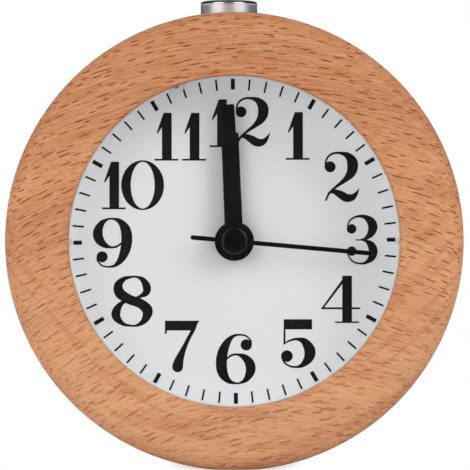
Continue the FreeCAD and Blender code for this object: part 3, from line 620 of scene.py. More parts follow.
def arc(centre_r, centre_y, radius, start, end, count):
    """Points (radius, y) on an arc; 0 degrees points to the front and 90 outward."""
    angles = (math.radians(start + (end - start) * i / count) for i in range(count + 1))
    return [(centre_r + radius * math.sin(a), centre_y - radius * math.cos(a)) for a in angles]


face_width = CASE_R - ROUND - WINDOW_R - LIP
side_length = BACK_Y - BACK_ROUND - FACE_Y - ROUND
outline = [
    *arc(WINDOW_R + LIP, FACE_Y + LIP, LIP, -90, 0, 6),
    *((WINDOW_R + LIP + face_width * t / 4, FACE_Y) for t in range(1, 4)),
    *arc(CASE_R - ROUND, FACE_Y + ROUND, ROUND, 0, 90, 14),
    *((CASE_R, FACE_Y + ROUND + side_length * t / 8) for t in range(1, 8)),
    *arc(CASE_R - BACK_ROUND, BACK_Y - BACK_ROUND, BACK_ROUND, 90, 180, 6),
    (RECESS_R + BACK_BEVEL, BACK_Y),
    (RECESS_R, BACK_Y - BACK_BEVEL),
    (RECESS_R, LEDGE_Y),
    (BORE_R, LEDGE_Y),
    (BORE_R, (LEDGE_Y + LIP_BACK_Y) / 2),
    (BORE_R, LIP_BACK_Y),
    (WINDOW_R, LIP_BACK_Y),
]
print("the case's outline has", len(outline), "points")

# %% Turned case
points, faces = [], []
turn_profile(points, faces, outline, 288, round_axis)
for point in points:
    point.z = max(0.0, point.z)
case = make_piece("case_wood", points, faces, BEECH)
face_outward(case)
print("turned case has", len(case.data.polygons), "faces")

# %% Hole for the button
HOLE_R = 6.0 * MM
HOLE_STEPS = 96
HOLE_FROM, HOLE_TO = AXIS_Z + 30 * MM, CASE_HIGH.z + 5 * MM
button_low, button_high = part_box("snooze_button")
BUTTON_X = (button_low.x + button_high.x) / 2
BUTTON_Y = (button_low.y + button_high.y) / 2


def round_button(angle, radius, z):
    return Vector((BUTTON_X + radius * math.cos(angle), BUTTON_Y + radius * math.sin(angle), z))


points, faces = [], []
skin_rings(points, faces, [
    [round_button(FULL * i / HOLE_STEPS, HOLE_R, z) for i in range(HOLE_STEPS)]
    for z in (HOLE_FROM, HOLE_TO)
])
cutter = make_piece("hole_cutter", points, faces, BEECH, smooth=False)
face_outward(cutter)
cut = case.modifiers.new("hole", "BOOLEAN")
cut.operation = "DIFFERENCE"
cut.solver = "EXACT"
cut.object = cutter
bake(case)
bpy.data.objects.remove(cutter)
sharpen(case, 40.0)
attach(case, "clock")
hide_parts("wood_case")
print("case has", len(case.data.polygons), "faces")

# %% [markdown]
# ## Ticks on the dial
# Sixty thin bars stand round the dial, each fifth one wide, and those at three and nine are
# shorter because keys on the white ring leave them less room. Anything repeated round a circle
# suits Geometry Nodes: one bar is placed on sixty points, and its length and width depend on the
# number of its point. The print lies a little off the plate and is turned half a degree, as it is
# on the real dial.


# %% Helpers for Geometry Nodes
def end_tree(shape, end, material):
    """Make copies real, give them their material and pass them out of the tree."""
    real = add_node(shape.tree, "GeometryNodeRealizeInstances", {0: shape})
    inputs = {"Geometry": Wire(real), "Material": material}
    fill(end, {0: Wire(add_node(shape.tree, "GeometryNodeSetMaterial", inputs))})


def moved_points(points, position):
    inputs = {"Geometry": points, "Position": position}
    return Wire(add_node(points.tree, "GeometryNodeSetPosition", inputs))


def place_copies(shape, count, spots, turn, size, end, material):
    """A copy of the shape at each of count spots, which depend on the points' numbers."""
    tree = shape.tree
    inputs = {"Count": count, "Offset": (0.0, 0.0, 0.0)}
    line = Wire(add_node(tree, "GeometryNodeMeshLine", inputs, mode="OFFSET"))
    copies = add_node(tree, "GeometryNodeInstanceOnPoints", {
        "Points": moved_points(line, spots), "Instance": shape, "Rotation": turn, "Scale": size,
    })
    end_tree(Wire(copies), end, material)


def bake_tree(name, tree, identifiers, values):
    """The tree's result as a piece. Values replace the tree's own, by the inputs' identifiers."""
    holder = bpy.data.objects.new(name, bpy.data.meshes.new(name))
    bpy.context.scene.collection.objects.link(holder)
    modifier = holder.modifiers.new("nodes", "NODES")
    modifier.node_group = tree
    for label, value in values.items():
        modifier[identifiers[label]] = value
    bake(holder)
    return holder


# %% Tree for the ticks
PRINT_THICK = 0.01 * MM


def build_tick_tree(material):
    inputs = {
        "Count": 60, "Outer Radius": 32.35 * MM, "Length": 2.25 * MM, "Width": 0.37 * MM,
        "Wide Every": 5, "Wide Length": 2.15 * MM, "Wide Width": 0.80 * MM,
        "Key Gap": 0.31 * MM, "Tilt": 0.0, "Centre": (0.0, 0.0, 0.0),
    }
    tree, get, end, identifiers = new_group("dial_ticks", inputs)
    index = Wire(add_node(tree, "GeometryNodeInputIndex"))
    angle = index * (FULL / get["Count"]) + get["Tilt"]
    wide = index.math("MODULO", get["Wide Every"]).math("LESS_THAN", 0.5)

    def either(plain, at_wide):
        values = {0: wide, 2: get[plain], 3: get[at_wide]}
        return Wire(add_node(tree, "ShaderNodeMix", values, data_type="FLOAT"))

    east, north = angle.math("SINE"), angle.math("COSINE")
    # only the ticks at three and nine lie this far to the side
    gap = east.math("ABSOLUTE").math("GREATER_THAN", 0.999) * get["Key Gap"]
    length = either("Length", "Wide Length") - gap * 1.5
    middle = get["Outer Radius"] - gap - length * 0.5
    spots = vector_math("ADD", join(tree, x=east * middle, z=north * middle), get["Centre"])
    bar = Wire(add_node(tree, "GeometryNodeMeshCube", {"Size": (1.0, PRINT_THICK, 1.0)}))
    size = join(tree, either("Width", "Wide Width"), 1.0, length)
    place_copies(bar, get["Count"], spots, join(tree, y=angle), size, end, material)
    return tree, identifiers


# %% Ticks
DIAL_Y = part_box("dial_plate")[0].y
PRINT_Y = DIAL_Y - 0.02 * MM
PRINT_TILT = -0.55
ticks = bake_tree("dial_ticks", *build_tick_tree(FINISH["dial_ink"]), {
    "Tilt": math.radians(PRINT_TILT),
    "Centre": (0.0, PRINT_Y, AXIS_Z),
})
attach(ticks, "clock")
print("ticks have", len(ticks.data.polygons), "faces")

# %% [markdown]
# ## Numbers on the dial
# The printed numbers have an old style with thick and thin strokes and round balls at the ends. A
# plain font has other shapes, so each figure is drawn here. A stroke is a smooth path whose width
# changes along it, a ball is a disc and a bar is a polygon. The flat shapes overlap, so each lies
# a few thousandths of a millimetre over the one before, and none flickers through another.


# %% Strokes
def smooth_path(knots, steps=10):
    """Points on a smooth curve through all the knots, widths included."""
    out = []
    last = len(knots) - 1
    for i in range(last):
        around = (max(i - 1, 0), i, i + 1, min(i + 2, last))
        corners = list(zip(*(knots[k] for k in around)))
        for s in range(steps):
            t = s / steps
            out.append(tuple(
                0.5 * (2 * b + (c - a) * t + (2 * a - 5 * b + 4 * c - d) * t * t
                       + (3 * b - a - 3 * c + d) * t ** 3)
                for a, b, c, d in corners))
    out.append(knots[-1])
    return out


def stroke_edges(knots):
    """The left and right edge of a stroke."""
    path = smooth_path(knots)
    left, right = [], []
    for i, (x, y, w) in enumerate(path):
        ax, ay, _ = path[max(i - 1, 0)]
        bx, by, _ = path[min(i + 1, len(path) - 1)]
        size = math.hypot(bx - ax, by - ay) or 1.0
        nx, ny = -(by - ay) / size, (bx - ax) / size
        left.append((x + nx * w / 2, y + ny * w / 2))
        right.append((x - nx * w / 2, y - ny * w / 2))
    return left, right


# %% Figures
# Each figure fills a box 50 high, with x to the right and y down from its top left corner. A
# stroke is a list of (x, y, width), a ball is (x, y, radius) and a shape is a list of corners.
GLYPHS = {
    "1": {"width": 25.0, "shapes": [
        [(9.5, 0), (18, 0), (18, 49), (7.8, 49), (7.8, 15), (3, 22.4), (2.4, 20.4)],
        [(0, 48.1), (25, 48.1), (25, 50), (0, 50)],
    ]},
    "2": {"width": 35.2, "balls": [(5.9, 15.1, 5.5)], "strokes": [
        [(0.9, 12.5, 1.6), (3.6, 5.6, 1.9), (9, 1.9, 2.2), (15.6, 1.5, 2.6), (22.5, 3.6, 6),
         (27.3, 9, 10), (28.2, 15.4, 10.6), (26, 22.2, 8.6), (20, 28.6, 4.8), (12.4, 34.4, 2.8),
         (5.4, 40.8, 2.2), (1.5, 48.8, 1.8)],
        [(3.2, 41.4, 0.8), (9.5, 39.6, 4.4), (16, 42.4, 7.6), (22, 45.8, 8.2), (28, 45.2, 6.4),
         (32.2, 41, 3), (35, 35.8, 0.3)],
    ]},
    "3": {"width": 31.2, "balls": [(5, 13.8, 4.9), (5.2, 36.4, 4.9)], "strokes": [
        [(0.6, 11, 1.2), (3.6, 5, 1.8), (10.6, 1.2, 2.2), (18.6, 1.8, 4.6), (24.8, 6.6, 8.8),
         (26.6, 12.8, 9.4), (24.2, 19, 7), (19, 23.6, 3), (13.4, 25, 1.4), (9.2, 25, 1.2)],
        [(14, 24.9, 1.2), (19.6, 26, 3), (24.8, 30.2, 7.6), (27, 36.6, 9), (25.2, 43.2, 7),
         (19.6, 48, 3.2), (13.6, 49, 1.9), (6.8, 47.2, 1.7), (2.2, 42, 1.4), (0.8, 37.4, 1)],
    ]},
    "4": {"width": 41.0, "shapes": [
        [(22.4, 0.4), (32.6, 0.4), (32.6, 49.2), (22.4, 49.2)],
        [(25.2, 0.4), (27.5, 2.4), (3.4, 34), (0.4, 34.9)],
        [(0.4, 33.6), (41, 33.6), (41, 35.6), (0.4, 35.6)],
        [(15, 48.4), (40, 48.4), (40, 50), (15, 50)],
    ]},
    "5": {"width": 36.0, "balls": [(6.2, 37.8, 6)], "shapes": [
        [(3, 0), (32, 0), (32, 10.4), (3, 10.4)],
        [(3, 0), (4.7, 0), (4.7, 25), (2.6, 26.6)],
    ], "strokes": [
        [(2.8, 25.8, 1), (9, 21.9, 2), (17, 20.4, 3), (24.4, 23.2, 7.6), (29.6, 31.6, 11.4),
         (28.6, 39.6, 10), (22.8, 46.4, 5.4), (16.6, 48.9, 2.4), (9.6, 48.2, 1.9), (3.6, 44.4, 1.7),
         (0.9, 39.4, 1.2)],
    ]},
    "7": {"width": 33.4, "balls": [(12.4, 44.6, 5.2)], "shapes": [
        [(0.2, 0.2), (33.4, 0.2), (27.6, 9.6), (2.4, 9.6), (1.6, 13), (0.2, 13)],
    ], "strokes": [
        [(30, 4, 2.4), (27, 9.8, 3.6), (23.2, 16.6, 3.6), (19.4, 24.6, 4.4), (15.6, 33.4, 6.8),
         (13.2, 40.2, 9.4), (12.4, 44.6, 10.4)],
    ]},
    "8": {"width": 40.0, "strokes": [
        [(19.8, 1, 2), (11.6, 3.2, 4.6), (6.2, 9.4, 8.4), (7.8, 17.2, 10), (16.8, 23.2, 9.4),
         (27.6, 27.2, 9.4), (34.6, 34, 10.4), (32.4, 42.8, 7), (25.6, 48.2, 3), (19.2, 49, 2),
         (10.8, 47.2, 3.8), (4.4, 40.8, 8), (4.2, 34.8, 8.4), (8.4, 28, 5), (15.2, 24.2, 2.6),
         (25.6, 21, 2.6), (32.8, 17, 6.4), (34, 11.2, 8), (30.4, 4.4, 5.4), (24.8, 1.3, 2.4),
         (19.8, 1, 2)],
    ]},
    "9": {"width": 39.0, "balls": [(8.9, 39, 5.6)], "strokes": [
        [(28.2, 25.2, 1.6), (23.4, 28.7, 2.2), (17.4, 29.4, 2.4), (10.6, 26.6, 6.4),
         (5.6, 20.8, 9.4), (4.7, 13.4, 9.4), (8.4, 5.6, 6), (13.8, 1.7, 2.6), (19.4, 0.9, 2),
         (26.4, 3.4, 5.4), (32, 10.8, 9.8), (33.6, 21, 11), (32, 32.2, 10), (27.6, 41.8, 6.8),
         (21.8, 47.6, 3.2), (15.6, 49, 1.9), (9.2, 47.9, 1.7), (4.6, 43.6, 1.4), (3.6, 40.4, 1)],
    ]},
    "0": {"width": 43.0, "rings": [((21.5, 25, 21.5, 25), (21.6, 25, 12, 23.4))]},
}
print(len(GLYPHS), "drawn figures")


# %% Flat shapes in layers
def add_polygon(out, layer, corners):
    """A flat shape added to the points and faces in out. Its layer keeps it off the others."""
    points, faces = out
    first = len(points)
    points.extend((x, y, layer) for x, y in corners)
    faces.append(tuple(range(first, first + len(corners))))


def add_strip(out, layer, left, right):
    """A band of quads between two edges. It rises by one layer, so it may cross itself."""
    points, faces = out
    first, count = len(points), len(left)
    for side in (left, right):
        points.extend((x, y, layer + i / count) for i, (x, y) in enumerate(side))
    for i in range(first, first + count - 1):
        faces.append((i, i + 1, count + i + 1, count + i))


def oval(x, y, across, up, steps):
    """Points clockwise round an oval, the first one repeated at the end."""
    angles = (FULL * i / steps for i in range(steps + 1))
    return [(x + across * math.cos(a), y + up * math.sin(a)) for a in angles]


# %% A whole figure
BALL_STEPS = 28
ZERO_STEPS = 48


def glyph_shapes(glyph):
    """The points and faces of a figure. A point's last number is the layer it lies in."""
    out = ([], [])
    layer = 0
    for shape in glyph.get("shapes", ()):
        add_polygon(out, layer, shape)
        layer += 1
    for x, y, radius in glyph.get("balls", ()):
        add_polygon(out, layer, oval(x, y, radius, radius, BALL_STEPS)[:-1])
        layer += 1
    for stroke in glyph.get("strokes", ()):
        add_strip(out, layer, *stroke_edges(stroke))
        layer += 2
    for outer, inner in glyph.get("rings", ()):
        add_strip(out, layer, oval(*outer, ZERO_STEPS), oval(*inner, ZERO_STEPS))
    return out


# %% Places of the numbers
# each figure with its left edge, top edge and height in millimetres from the clock's axis
NUMBERS = (
    ("1", 10.22, 25.70, 9.50),
    ("2", 17.87, 17.85, 10.06),
    ("3", 22.35, 5.16, 9.80),
    ("4", 17.23, -6.79, 9.48),
    ("5", 9.26, -15.54, 9.70),
    ("6", -3.67, -18.43, 10.04),
    ("7", -13.86, -15.78, 10.36),
    ("8", -24.34, -6.87, 10.16),
    ("9", -28.09, 4.64, 9.94),
    ("1", -26.35, 15.82, 9.46),
    ("0", -22.53, 16.11, 9.92),
    ("1", -15.90, 25.56, 9.52),
    ("1", -10.38, 25.56, 9.52),
    ("1", -4.92, 28.23, 9.50),
    ("2", 0.16, 28.75, 9.92),
)
print(len(NUMBERS), "figures on the dial")

# %% Numbers
LAYER = 0.004 * MM
BOX_HIGH = 50.0
points, faces = [], []
for figure, left, top, height in NUMBERS:
    # a six is a nine turned by half a turn
    glyph = GLYPHS["9" if figure == "6" else figure]
    glyph_points, glyph_faces = glyph_shapes(glyph)
    unit, first = height / BOX_HIGH, len(points)
    for x, y, layer in glyph_points:
        if figure == "6":
            x, y = glyph["width"] - x, BOX_HIGH - y
        side, up = (left + x * unit) * MM, (top - y * unit) * MM
        points.append(Vector((side, PRINT_Y - layer * LAYER, AXIS_Z + up)))
    faces += [tuple(first + i for i in face) for face in glyph_faces]
numbers = make_piece("dial_numbers", points, faces, FINISH["dial_ink"], smooth=False)
with open_mesh(numbers) as bm:
    bmesh.ops.triangulate(bm, faces=[f for f in bm.faces if len(f.verts) > 4])
    for face in bm.faces:
        if face.normal.y > 0:
            face.normal_flip()
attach(numbers, "clock")
print("numbers have", len(numbers.data.polygons), "faces")

# %% [markdown]
# ## Hour and minute hands
# Both hands are pressed from thin sheet and painted black: a round hub with a raised ring, and a
# straight blade with two fine raised lines just inside its edges. A flat bar would catch no light
# along those lines. So a cross section with the two lines is skinned along the blade, a second
# outline is turned for the hub, and both are turned to the time as one mesh.


# %% Section of a blade
BEVEL = 0.08 * MM
LINE_INSET = 0.62 * MM
LINE_WIDE = 0.13 * MM
LINE_RISE = 0.12 * MM


def blade_section(half, thick):
    """Across the blade: places from its middle and heights over its back."""
    low, line = thick - LINE_RISE, -half + LINE_INSET
    left = [
        (-half, 0.0), (-half, low - BEVEL), (-half + BEVEL, low), (line - LINE_WIDE, low),
        (line - LINE_WIDE / 2, thick), (line + LINE_WIDE / 2, thick), (line + LINE_WIDE, low),
    ]
    return left + [(-x, rise) for x, rise in reversed(left)]


def turned_points(points, degrees):
    """The points turned about the clock's axis, clockwise as seen from the front."""
    centre = Vector((0, 0, AXIS_Z))
    spin = Matrix.Rotation(math.radians(degrees), 4, "Y")
    return [spin @ (p - centre) + centre for p in points]


# %% One function for both hands
HUB_R = 3.9 * MM
HUB_OVERLAP = 0.35 * MM
ROOT_WIDE = 3.5 * MM
TIP_END = 0.1 * MM
HUB_STEPS = 96
RING_OUT, RING_IN, RING_SLOPE = 0.80 * MM, 0.95 * MM, 0.08 * MM
HUB_SINK = 0.10 * MM


def make_hand(name, node, body, bore, tip_wide, length, degrees):
    low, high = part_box(node)
    back, thick = high.y, high.y - low.y
    middle_wide = (ROOT_WIDE + tip_wide) / 2
    points, faces = [], []
    skin_rings(points, faces, [
        [Vector((x, back - rise, AXIS_Z + along)) for x, rise in blade_section(wide / 2, top)]
        for along, wide, top in (
            (HUB_R - HUB_OVERLAP, ROOT_WIDE, thick),
            (length / 2, middle_wide, thick),
            (length - TIP_END, tip_wide, thick),
            (length, tip_wide - 2 * TIP_END, thick - BEVEL),
        )
    ])
    flat = low.y + HUB_SINK
    turn_profile(points, faces, [
        (bore, back), (HUB_R, back), (HUB_R, flat + BEVEL), (HUB_R - BEVEL, flat),
        (HUB_R - RING_OUT + RING_SLOPE, flat), (HUB_R - RING_OUT, low.y), (HUB_R - RING_IN, low.y),
        (HUB_R - RING_IN - RING_SLOPE, flat), (bore, flat),
    ], HUB_STEPS, round_axis)
    piece = make_piece(name, turned_points(points, degrees), faces, FINISH["hand_black"])
    face_outward(piece)
    sharpen(piece, 30.0)
    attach(piece, body)
    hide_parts(node)
    return piece


# %% Hour hand and minute hand
minute = make_hand(
    "minute_hand_pressed", "minute_hand", "minute",
    bore=1.15 * MM, tip_wide=2.85 * MM, length=27.1 * MM, degrees=-3.1)
hour = make_hand(
    "hour_hand_pressed", "hour_hand", "hour",
    bore=1.75 * MM, tip_wide=3.05 * MM, length=21.5 * MM, degrees=-1.9)
print("hands have", len(minute.data.polygons), "and", len(hour.data.polygons), "faces")

# %% [markdown]
# ## Seconds hand
# The seconds hand is a thin bar with round ends and a short tail, under a glossy domed cap that
# hides the other hubs. The bar is three rings of points, the last one a little narrower for a
# soft edge. The cap is turned like the case, and its middle points are merged into one.

# %% Needle
SECOND_LOW, SECOND_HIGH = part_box("second_hand")
SECOND_BACK = SECOND_HIGH.y
NEEDLE_THICK = 0.5 * MM
NEEDLE_HALF = 0.45 * MM
NEEDLE_EDGE = 0.12 * MM
NEEDLE_SIDE = 0.7 * NEEDLE_THICK
TIP, TAIL = 27.5 * MM, 8.7 * MM
END_STEPS = 10
loop = []
for start, end_z in ((0.0, TIP - NEEDLE_HALF), (math.pi, NEEDLE_HALF - TAIL)):
    for i in range(END_STEPS + 1):
        a = start + math.pi * i / END_STEPS
        loop.append((NEEDLE_HALF * math.cos(a), end_z + NEEDLE_HALF * math.sin(a)))
points, faces = [], []
skin_rings(points, faces, [
    [Vector((x * share, SECOND_BACK - rise, AXIS_Z + z)) for x, z in loop]
    for share, rise in (
        (1.0, 0.0),
        (1.0, NEEDLE_SIDE),
        (1 - NEEDLE_EDGE / NEEDLE_HALF, NEEDLE_THICK),
    )
])
print("needle has", len(faces), "faces")

# %% Domed cap
CAP_R = 2.65 * MM
CAP_ROUND = 0.45 * MM
CAP_HIGH = SECOND_BACK - SECOND_LOW.y
SHOULDER, ROUND_SHARE, DOME_SHARE = 0.62, 0.30, 0.08
SECOND_TURN = 95.1
WELD = 1e-7
cap = [(0.0, 0.0), (CAP_R, 0.0), (CAP_R, CAP_HIGH * SHOULDER)]
for i in range(1, 9):
    a = math.radians(90 * i / 8)
    rise = CAP_HIGH * (SHOULDER + ROUND_SHARE * math.sin(a))
    cap.append((CAP_R - CAP_ROUND * (1 - math.cos(a)), rise))
for t in (0.75, 0.5, 0.25, 0.0):
    dome = DOME_SHARE * (1 - t * t)
    cap.append(((CAP_R - CAP_ROUND) * t, CAP_HIGH * (SHOULDER + ROUND_SHARE + dome)))
cap = [(radius, SECOND_BACK - rise) for radius, rise in cap]
turn_profile(points, faces, cap, HUB_STEPS, round_axis, closed=False)
points = turned_points(points, SECOND_TURN)
second = make_piece("second_hand_capped", points, faces, FINISH["cap_black"])
with open_mesh(second) as bm:
    bmesh.ops.remove_doubles(bm, verts=bm.verts, dist=WELD)
face_outward(second)
sharpen(second, 30.0)
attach(second, "second")
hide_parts("second_hand")
print("seconds hand has", len(second.data.polygons), "faces")

# %% [markdown]
# ## Button on top
# The button is a chrome cap with a soft upper edge. Its side is knurled: a wheel presses two sets
# of slanting grooves into it and leaves small diamonds. Bump alone would leave a smooth outline,
# so a Geometry Nodes tree rolls a fine grid into a band round the cap and pulls it inward along
# the grooves. The top and the skirt are turned and joined to the band.

# %% Tree for the knurled band
DIAMOND_FADE = 24.0


def build_knurl_tree(material):
    inputs = {
        "Radius": 5.7 * MM, "Depth": 0.065 * MM, "Low": 0.0, "High": 4.1 * MM, "Diamonds": 58.0,
        "Pitch": 0.62 * MM, "Columns": 463, "Rows": 68, "Centre": (0.0, 0.0, 0.0),
    }
    tree, get, end, identifiers = new_group("knurled_band", inputs)
    grid = Wire(add_node(tree, "GeometryNodeMeshGrid", {
        "Size X": 1.0, "Size Y": 1.0, "Vertices X": get["Columns"], "Vertices Y": get["Rows"],
    }))
    across, up, _ = split(Wire(add_node(tree, "GeometryNodeInputPosition")))
    turn, share = across * FULL, up + 0.5
    rise = share * (get["High"] - get["Low"])
    round_phase = turn * (get["Diamonds"] * 0.5)
    rise_phase = rise / get["Pitch"] * math.pi
    first = (round_phase + rise_phase).math("COSINE").math("ABSOLUTE")
    other = (round_phase - rise_phase).math("COSINE").math("ABSOLUTE")
    # the grooves run out at the band's upper and lower edge
    edge = (share * (1.0 - share)).math("MULTIPLY", DIAMOND_FADE, clamp=True)
    radius = get["Radius"] + (first * other - 1.0) * edge * get["Depth"]
    east, north = turn.math("COSINE") * radius, turn.math("SINE") * radius
    band = vector_math("ADD", join(tree, east, north, rise + get["Low"]), get["Centre"])
    inputs = {"Geometry": moved_points(grid, band), "Distance": WELD}
    end_tree(Wire(add_node(tree, "GeometryNodeMergeByDistance", inputs)), end, material)
    return tree, identifiers


# %% Knurled band
BUTTON_R = (button_high.x - button_low.x) / 2
KNURL_TOP = button_high.z - 0.72 * MM
KNURL_LOW = KNURL_TOP - 4.1 * MM
button = bake_tree("button_knurled", *build_knurl_tree(FINISH["chrome"]), {
    "Radius": BUTTON_R,
    "Low": KNURL_LOW,
    "High": KNURL_TOP,
    "Centre": (BUTTON_X, BUTTON_Y, 0.0),
})
print("knurled band has", len(button.data.polygons), "faces")

# %% Crown and skirt of the button
CROWN_R = 0.6 * MM
CROWN_DOME = 0.10 * MM
CROWN_SQUASH = 0.93
SKIRT_WALL = 1.1 * MM
SKIRT_BEVEL = 0.2 * MM
SKIRT_ROOF = button_low.z + 4.2 * MM
STEM_R = 1.7 * MM
flat_r = BUTTON_R - CROWN_R
crown = [(flat_r * t, button_high.z - CROWN_DOME * t * t) for t in (0.0, 0.35, 0.7, 0.9, 1.0)]
for i in range(1, 13):
    a = math.radians(90 * i / 12)
    fall = CROWN_DOME + CROWN_R * (1 - math.cos(a)) * CROWN_SQUASH
    crown.append((flat_r + CROWN_R * math.sin(a), button_high.z - fall))
crown.append((BUTTON_R, KNURL_TOP))
skirt = [
    (BUTTON_R, KNURL_LOW),
    (BUTTON_R, button_low.z + SKIRT_BEVEL),
    (BUTTON_R - SKIRT_BEVEL, button_low.z),
    (BUTTON_R - SKIRT_WALL, button_low.z),
    (BUTTON_R - SKIRT_WALL, SKIRT_ROOF),
    (STEM_R, SKIRT_ROOF),
]
print("crown and skirt have", len(crown), "and", len(skirt), "points")

# %% Whole button
TURN_STEPS = 160
points, faces = [], []
for profile in (crown, skirt):
    turn_profile(points, faces, profile, TURN_STEPS, round_button, closed=False)
ends = make_piece("button_ends", points, faces, FINISH["chrome"])
with open_mesh(button) as bm:
    bm.from_mesh(ends.data)
    bmesh.ops.remove_doubles(bm, verts=bm.verts, dist=WELD)
bpy.data.objects.remove(ends)
button.data.materials.clear()
button.data.materials.append(FINISH["chrome"])
for label, value in (("material_index", 0), ("use_smooth", True)):
    button.data.polygons.foreach_set(label, [value] * len(button.data.polygons))
face_outward(button)
sharpen(button, 50.0)
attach(button, "button")
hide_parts("snooze_button")
print("button has", len(button.data.polygons), "faces")

# %% [markdown]
# ## Screws in the back
# Four pan heads with crossed slots sit in the sinks of the moulded back. One tree makes a head
# from a cylinder, cuts two bars out of it and places it four times. No two screws on a real clock
# stop at the same angle, so each one gets a random turn from a fixed seed.


# %% Tree for the screws
HEAD_STEPS = 40
# length of a slot for a head with a radius of 1
SLOT_REACH = 1.25
TURN_SEED = 7


def moved_shape(shape, translation):
    inputs = {"Geometry": shape, "Translation": translation}
    return Wire(add_node(shape.tree, "GeometryNodeTransform", inputs))


def build_screw_tree(material):
    inputs = {
        "Count": 4, "Circle Radius": 37.25 * MM, "Head Radius": 1.5 * MM,
        "Head Height": 0.85 * MM, "Slot Width": 0.38 * MM, "Slot Depth": 0.5 * MM,
        "Seat": (0.0, 0.0, 0.0),
    }
    tree, get, end, identifiers = new_group("pan_head_screws", inputs)
    radius, height = get["Head Radius"], get["Head Height"]
    inputs = {"Vertices": HEAD_STEPS, "Radius": radius, "Depth": height}
    head = Wire(add_node(tree, "GeometryNodeMeshCylinder", inputs), "Mesh")
    head = moved_shape(head, join(tree, z=height * 0.5))
    # half of each bar stands over the head, so the cut has no thin skin left on it
    long, narrow, deep = radius * SLOT_REACH, get["Slot Width"], get["Slot Depth"] * 2.0
    for x, y in ((long, narrow), (narrow, long)):
        bar = add_node(tree, "GeometryNodeMeshCube", {"Size": join(tree, x, y, deep)})
        slot = moved_shape(Wire(bar), join(tree, z=height))
        inputs = {"Mesh 1": head, "Mesh 2": slot}
        settings = {"operation": "DIFFERENCE", "solver": "EXACT"}
        head = Wire(add_node(tree, "GeometryNodeMeshBoolean", inputs, **settings), "Mesh")
    index = Wire(add_node(tree, "GeometryNodeInputIndex"))
    angle = (index + 0.5) * (FULL / get["Count"])
    away = get["Circle Radius"]
    place = join(tree, x=angle.math("COSINE") * away, z=angle.math("SINE") * away)
    inputs = {"Seed": TURN_SEED, 2: 0.0, 3: math.pi}
    chance = Wire(add_node(tree, "FunctionNodeRandomValue", inputs, data_type="FLOAT"), 1)
    turn = join(tree, -math.pi / 2, chance)
    spots = vector_math("ADD", place, get["Seat"])
    place_copies(head, get["Count"], spots, turn, (1.0, 1.0, 1.0), end, material)
    return tree, identifiers


# %% Screws
SEAT_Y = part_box("rear_cover")[1].y - 1.1 * MM
screw_seat = {"Seat": (0.0, SEAT_Y, AXIS_Z)}
screws = bake_tree("back_screws", *build_screw_tree(FINISH["screw_steel"]), screw_seat)
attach(screws, "clock")
print("screws have", len(screws.data.polygons), "faces")

# %% [markdown]
# ## Floor
# The clock stands on plain white. A white floor under soft lamps comes out grey, so to the camera
# it glows a little, and it turns into pure white a few centimetres away. What stays is the faint
# shadow where the case touches it.

# %% Floor
FLOOR_GLOW = 0.5
SHADOW_END = (18.0 * MM, 34.0 * MM)
SHADOW_SHAPE = (2.4, 1.0, 1.0)
FLOOR_REACH, FLOOR_FRONT = 3.0, 0.22
floor_material, shader, end = new_material("plain_floor", Roughness=0.9)
fill(shader, {"Base Color": (0.80, 0.80, 0.80)})
tree = shader.id_data
camera_ray = Wire(add_node(tree, "ShaderNodeLightPath"), "Is Camera Ray")
away = vector_math("LENGTH", vector_math("MULTIPLY", object_place(tree), SHADOW_SHAPE))
glow = add_node(tree, "ShaderNodeEmission", {"Strength": camera_ray * FLOOR_GLOW})
near = add_node(tree, "ShaderNodeAddShader", {0: Wire(shader), 1: Wire(glow)})
white = add_node(tree, "ShaderNodeEmission")
inputs = {0: away.ramp(*SHADOW_END) * camera_ray, 1: Wire(near), 2: Wire(white)}
fill(end, {0: Wire(add_node(tree, "ShaderNodeMixShader", inputs))})
corners = [
    (side * FLOOR_REACH, y, 0.0)
    for side, y in ((-1, -FLOOR_FRONT), (1, -FLOOR_FRONT), (1, FLOOR_REACH), (-1, FLOOR_REACH))
]
floor = make_piece("floor", corners, [(0, 1, 2, 3)], floor_material, smooth=False)
print("floor is", floor.dimensions.x, "m wide")

# %% [markdown]
# ## Surroundings
# Chrome and glass show what is round them. The camera sees plain white. Reflections see a dark
# space with a bright panel to each side, which keeps the glass clear and gives the chrome bright
# bands between dark edges. Everything else gets an even grey light.

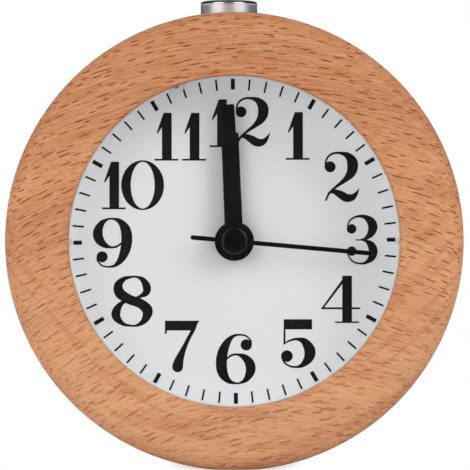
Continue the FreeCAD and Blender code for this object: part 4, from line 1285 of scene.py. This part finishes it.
# %% Surroundings
PANEL_START, PANEL_END = (0.32, 0.50), (0.89, 0.94)
OVERHEAD = (0.25, 0.55)
world = bpy.data.worlds.new("surroundings")
bpy.context.scene.world = world
world.use_nodes = True
tree = world.node_tree
tree.nodes.clear()
_, y, z = split(Wire(add_node(tree, "ShaderNodeTexCoord"), "Generated"))
ahead = y * -1.0
panels = (ahead.ramp(*PANEL_START) - ahead.ramp(*PANEL_END)) * (1.0 - z.ramp(*OVERHEAD))
mirrored = mix_colour(panels, (0.04, 0.04, 0.04), (1.60, 1.60, 1.61))
path = add_node(tree, "ShaderNodeLightPath")
soft = mix_colour(Wire(path, "Is Glossy Ray"), (0.62, 0.625, 0.63), mirrored)
seen = mix_colour(Wire(path, "Is Camera Ray"), soft, (1.0, 1.0, 1.0))
back = add_node(tree, "ShaderNodeBackground", {"Color": seen, "Strength": 1.0})
add_node(tree, "ShaderNodeOutputWorld", {"Surface": Wire(back)})
print("surroundings have", len(tree.nodes), "nodes")

# %% [markdown]
# ## Lights
# Five large soft lamps: the main one high on the right, a weaker one on the left, a faint one
# overhead, one far to the left for the case's edge, and one behind for the rim. None of them
# shows in a reflection, where its shape would look like a window.

# %% Lights
AIM = Vector((0.0, 0.0, AXIS_Z))
# name, place, width and height in metres, and power in watts
LAMPS = (
    ("key_right", (0.60, -0.66, 0.52), (0.45, 0.55), 2.9),
    ("fill_left", (-0.36, -0.74, 0.20), (0.40, 0.50), 1.2),
    ("top_soft", (0.0, 0.05, 0.95), (0.7, 0.5), 0.6),
    ("side_left", (-0.80, -0.24, 0.12), (0.40, 0.50), 1.0),
    ("rim_back", (-0.35, 0.80, 0.55), (0.6, 0.5), 2.0),
)
for name, place, size, power in LAMPS:
    data = bpy.data.lights.new(name, "AREA")
    data.shape = "RECTANGLE"
    data.size, data.size_y = size
    data.energy = power
    lamp = bpy.data.objects.new(name, data)
    lamp.visible_glossy = False
    lamp.location = place
    lamp.rotation_euler = (AIM - Vector(place)).to_track_quat("-Z", "Y").to_euler()
    bpy.context.scene.collection.objects.link(lamp)
print(len(LAMPS), "lamps")

# %% [markdown]
# ## Camera
# The clock is seen straight from the front, from far enough for its depth to hide behind its
# face. The lens's shift puts the case a little below the middle, and the button meets the top
# edge of the picture.

# %% Camera
CAMERA_AWAY = 650 * MM
camera_data = bpy.data.cameras.new("camera")
camera_data.sensor_width = 36.0
camera_data.lens = 255.3
camera_data.shift_x, camera_data.shift_y = 0.00138, 0.01319
camera_data.clip_start, camera_data.clip_end = 0.01, 20.0
camera = bpy.data.objects.new("camera", camera_data)
camera.location = (0.0, FACE_Y - CAMERA_AWAY, AXIS_Z)
camera.rotation_euler = (math.pi / 2, 0.0, 0.0)
bpy.context.scene.collection.objects.link(camera)
bpy.context.scene.camera = camera
bpy.context.scene.view_settings.view_transform = "Standard"
print("camera is", CAMERA_AWAY, "m from the clock's face")
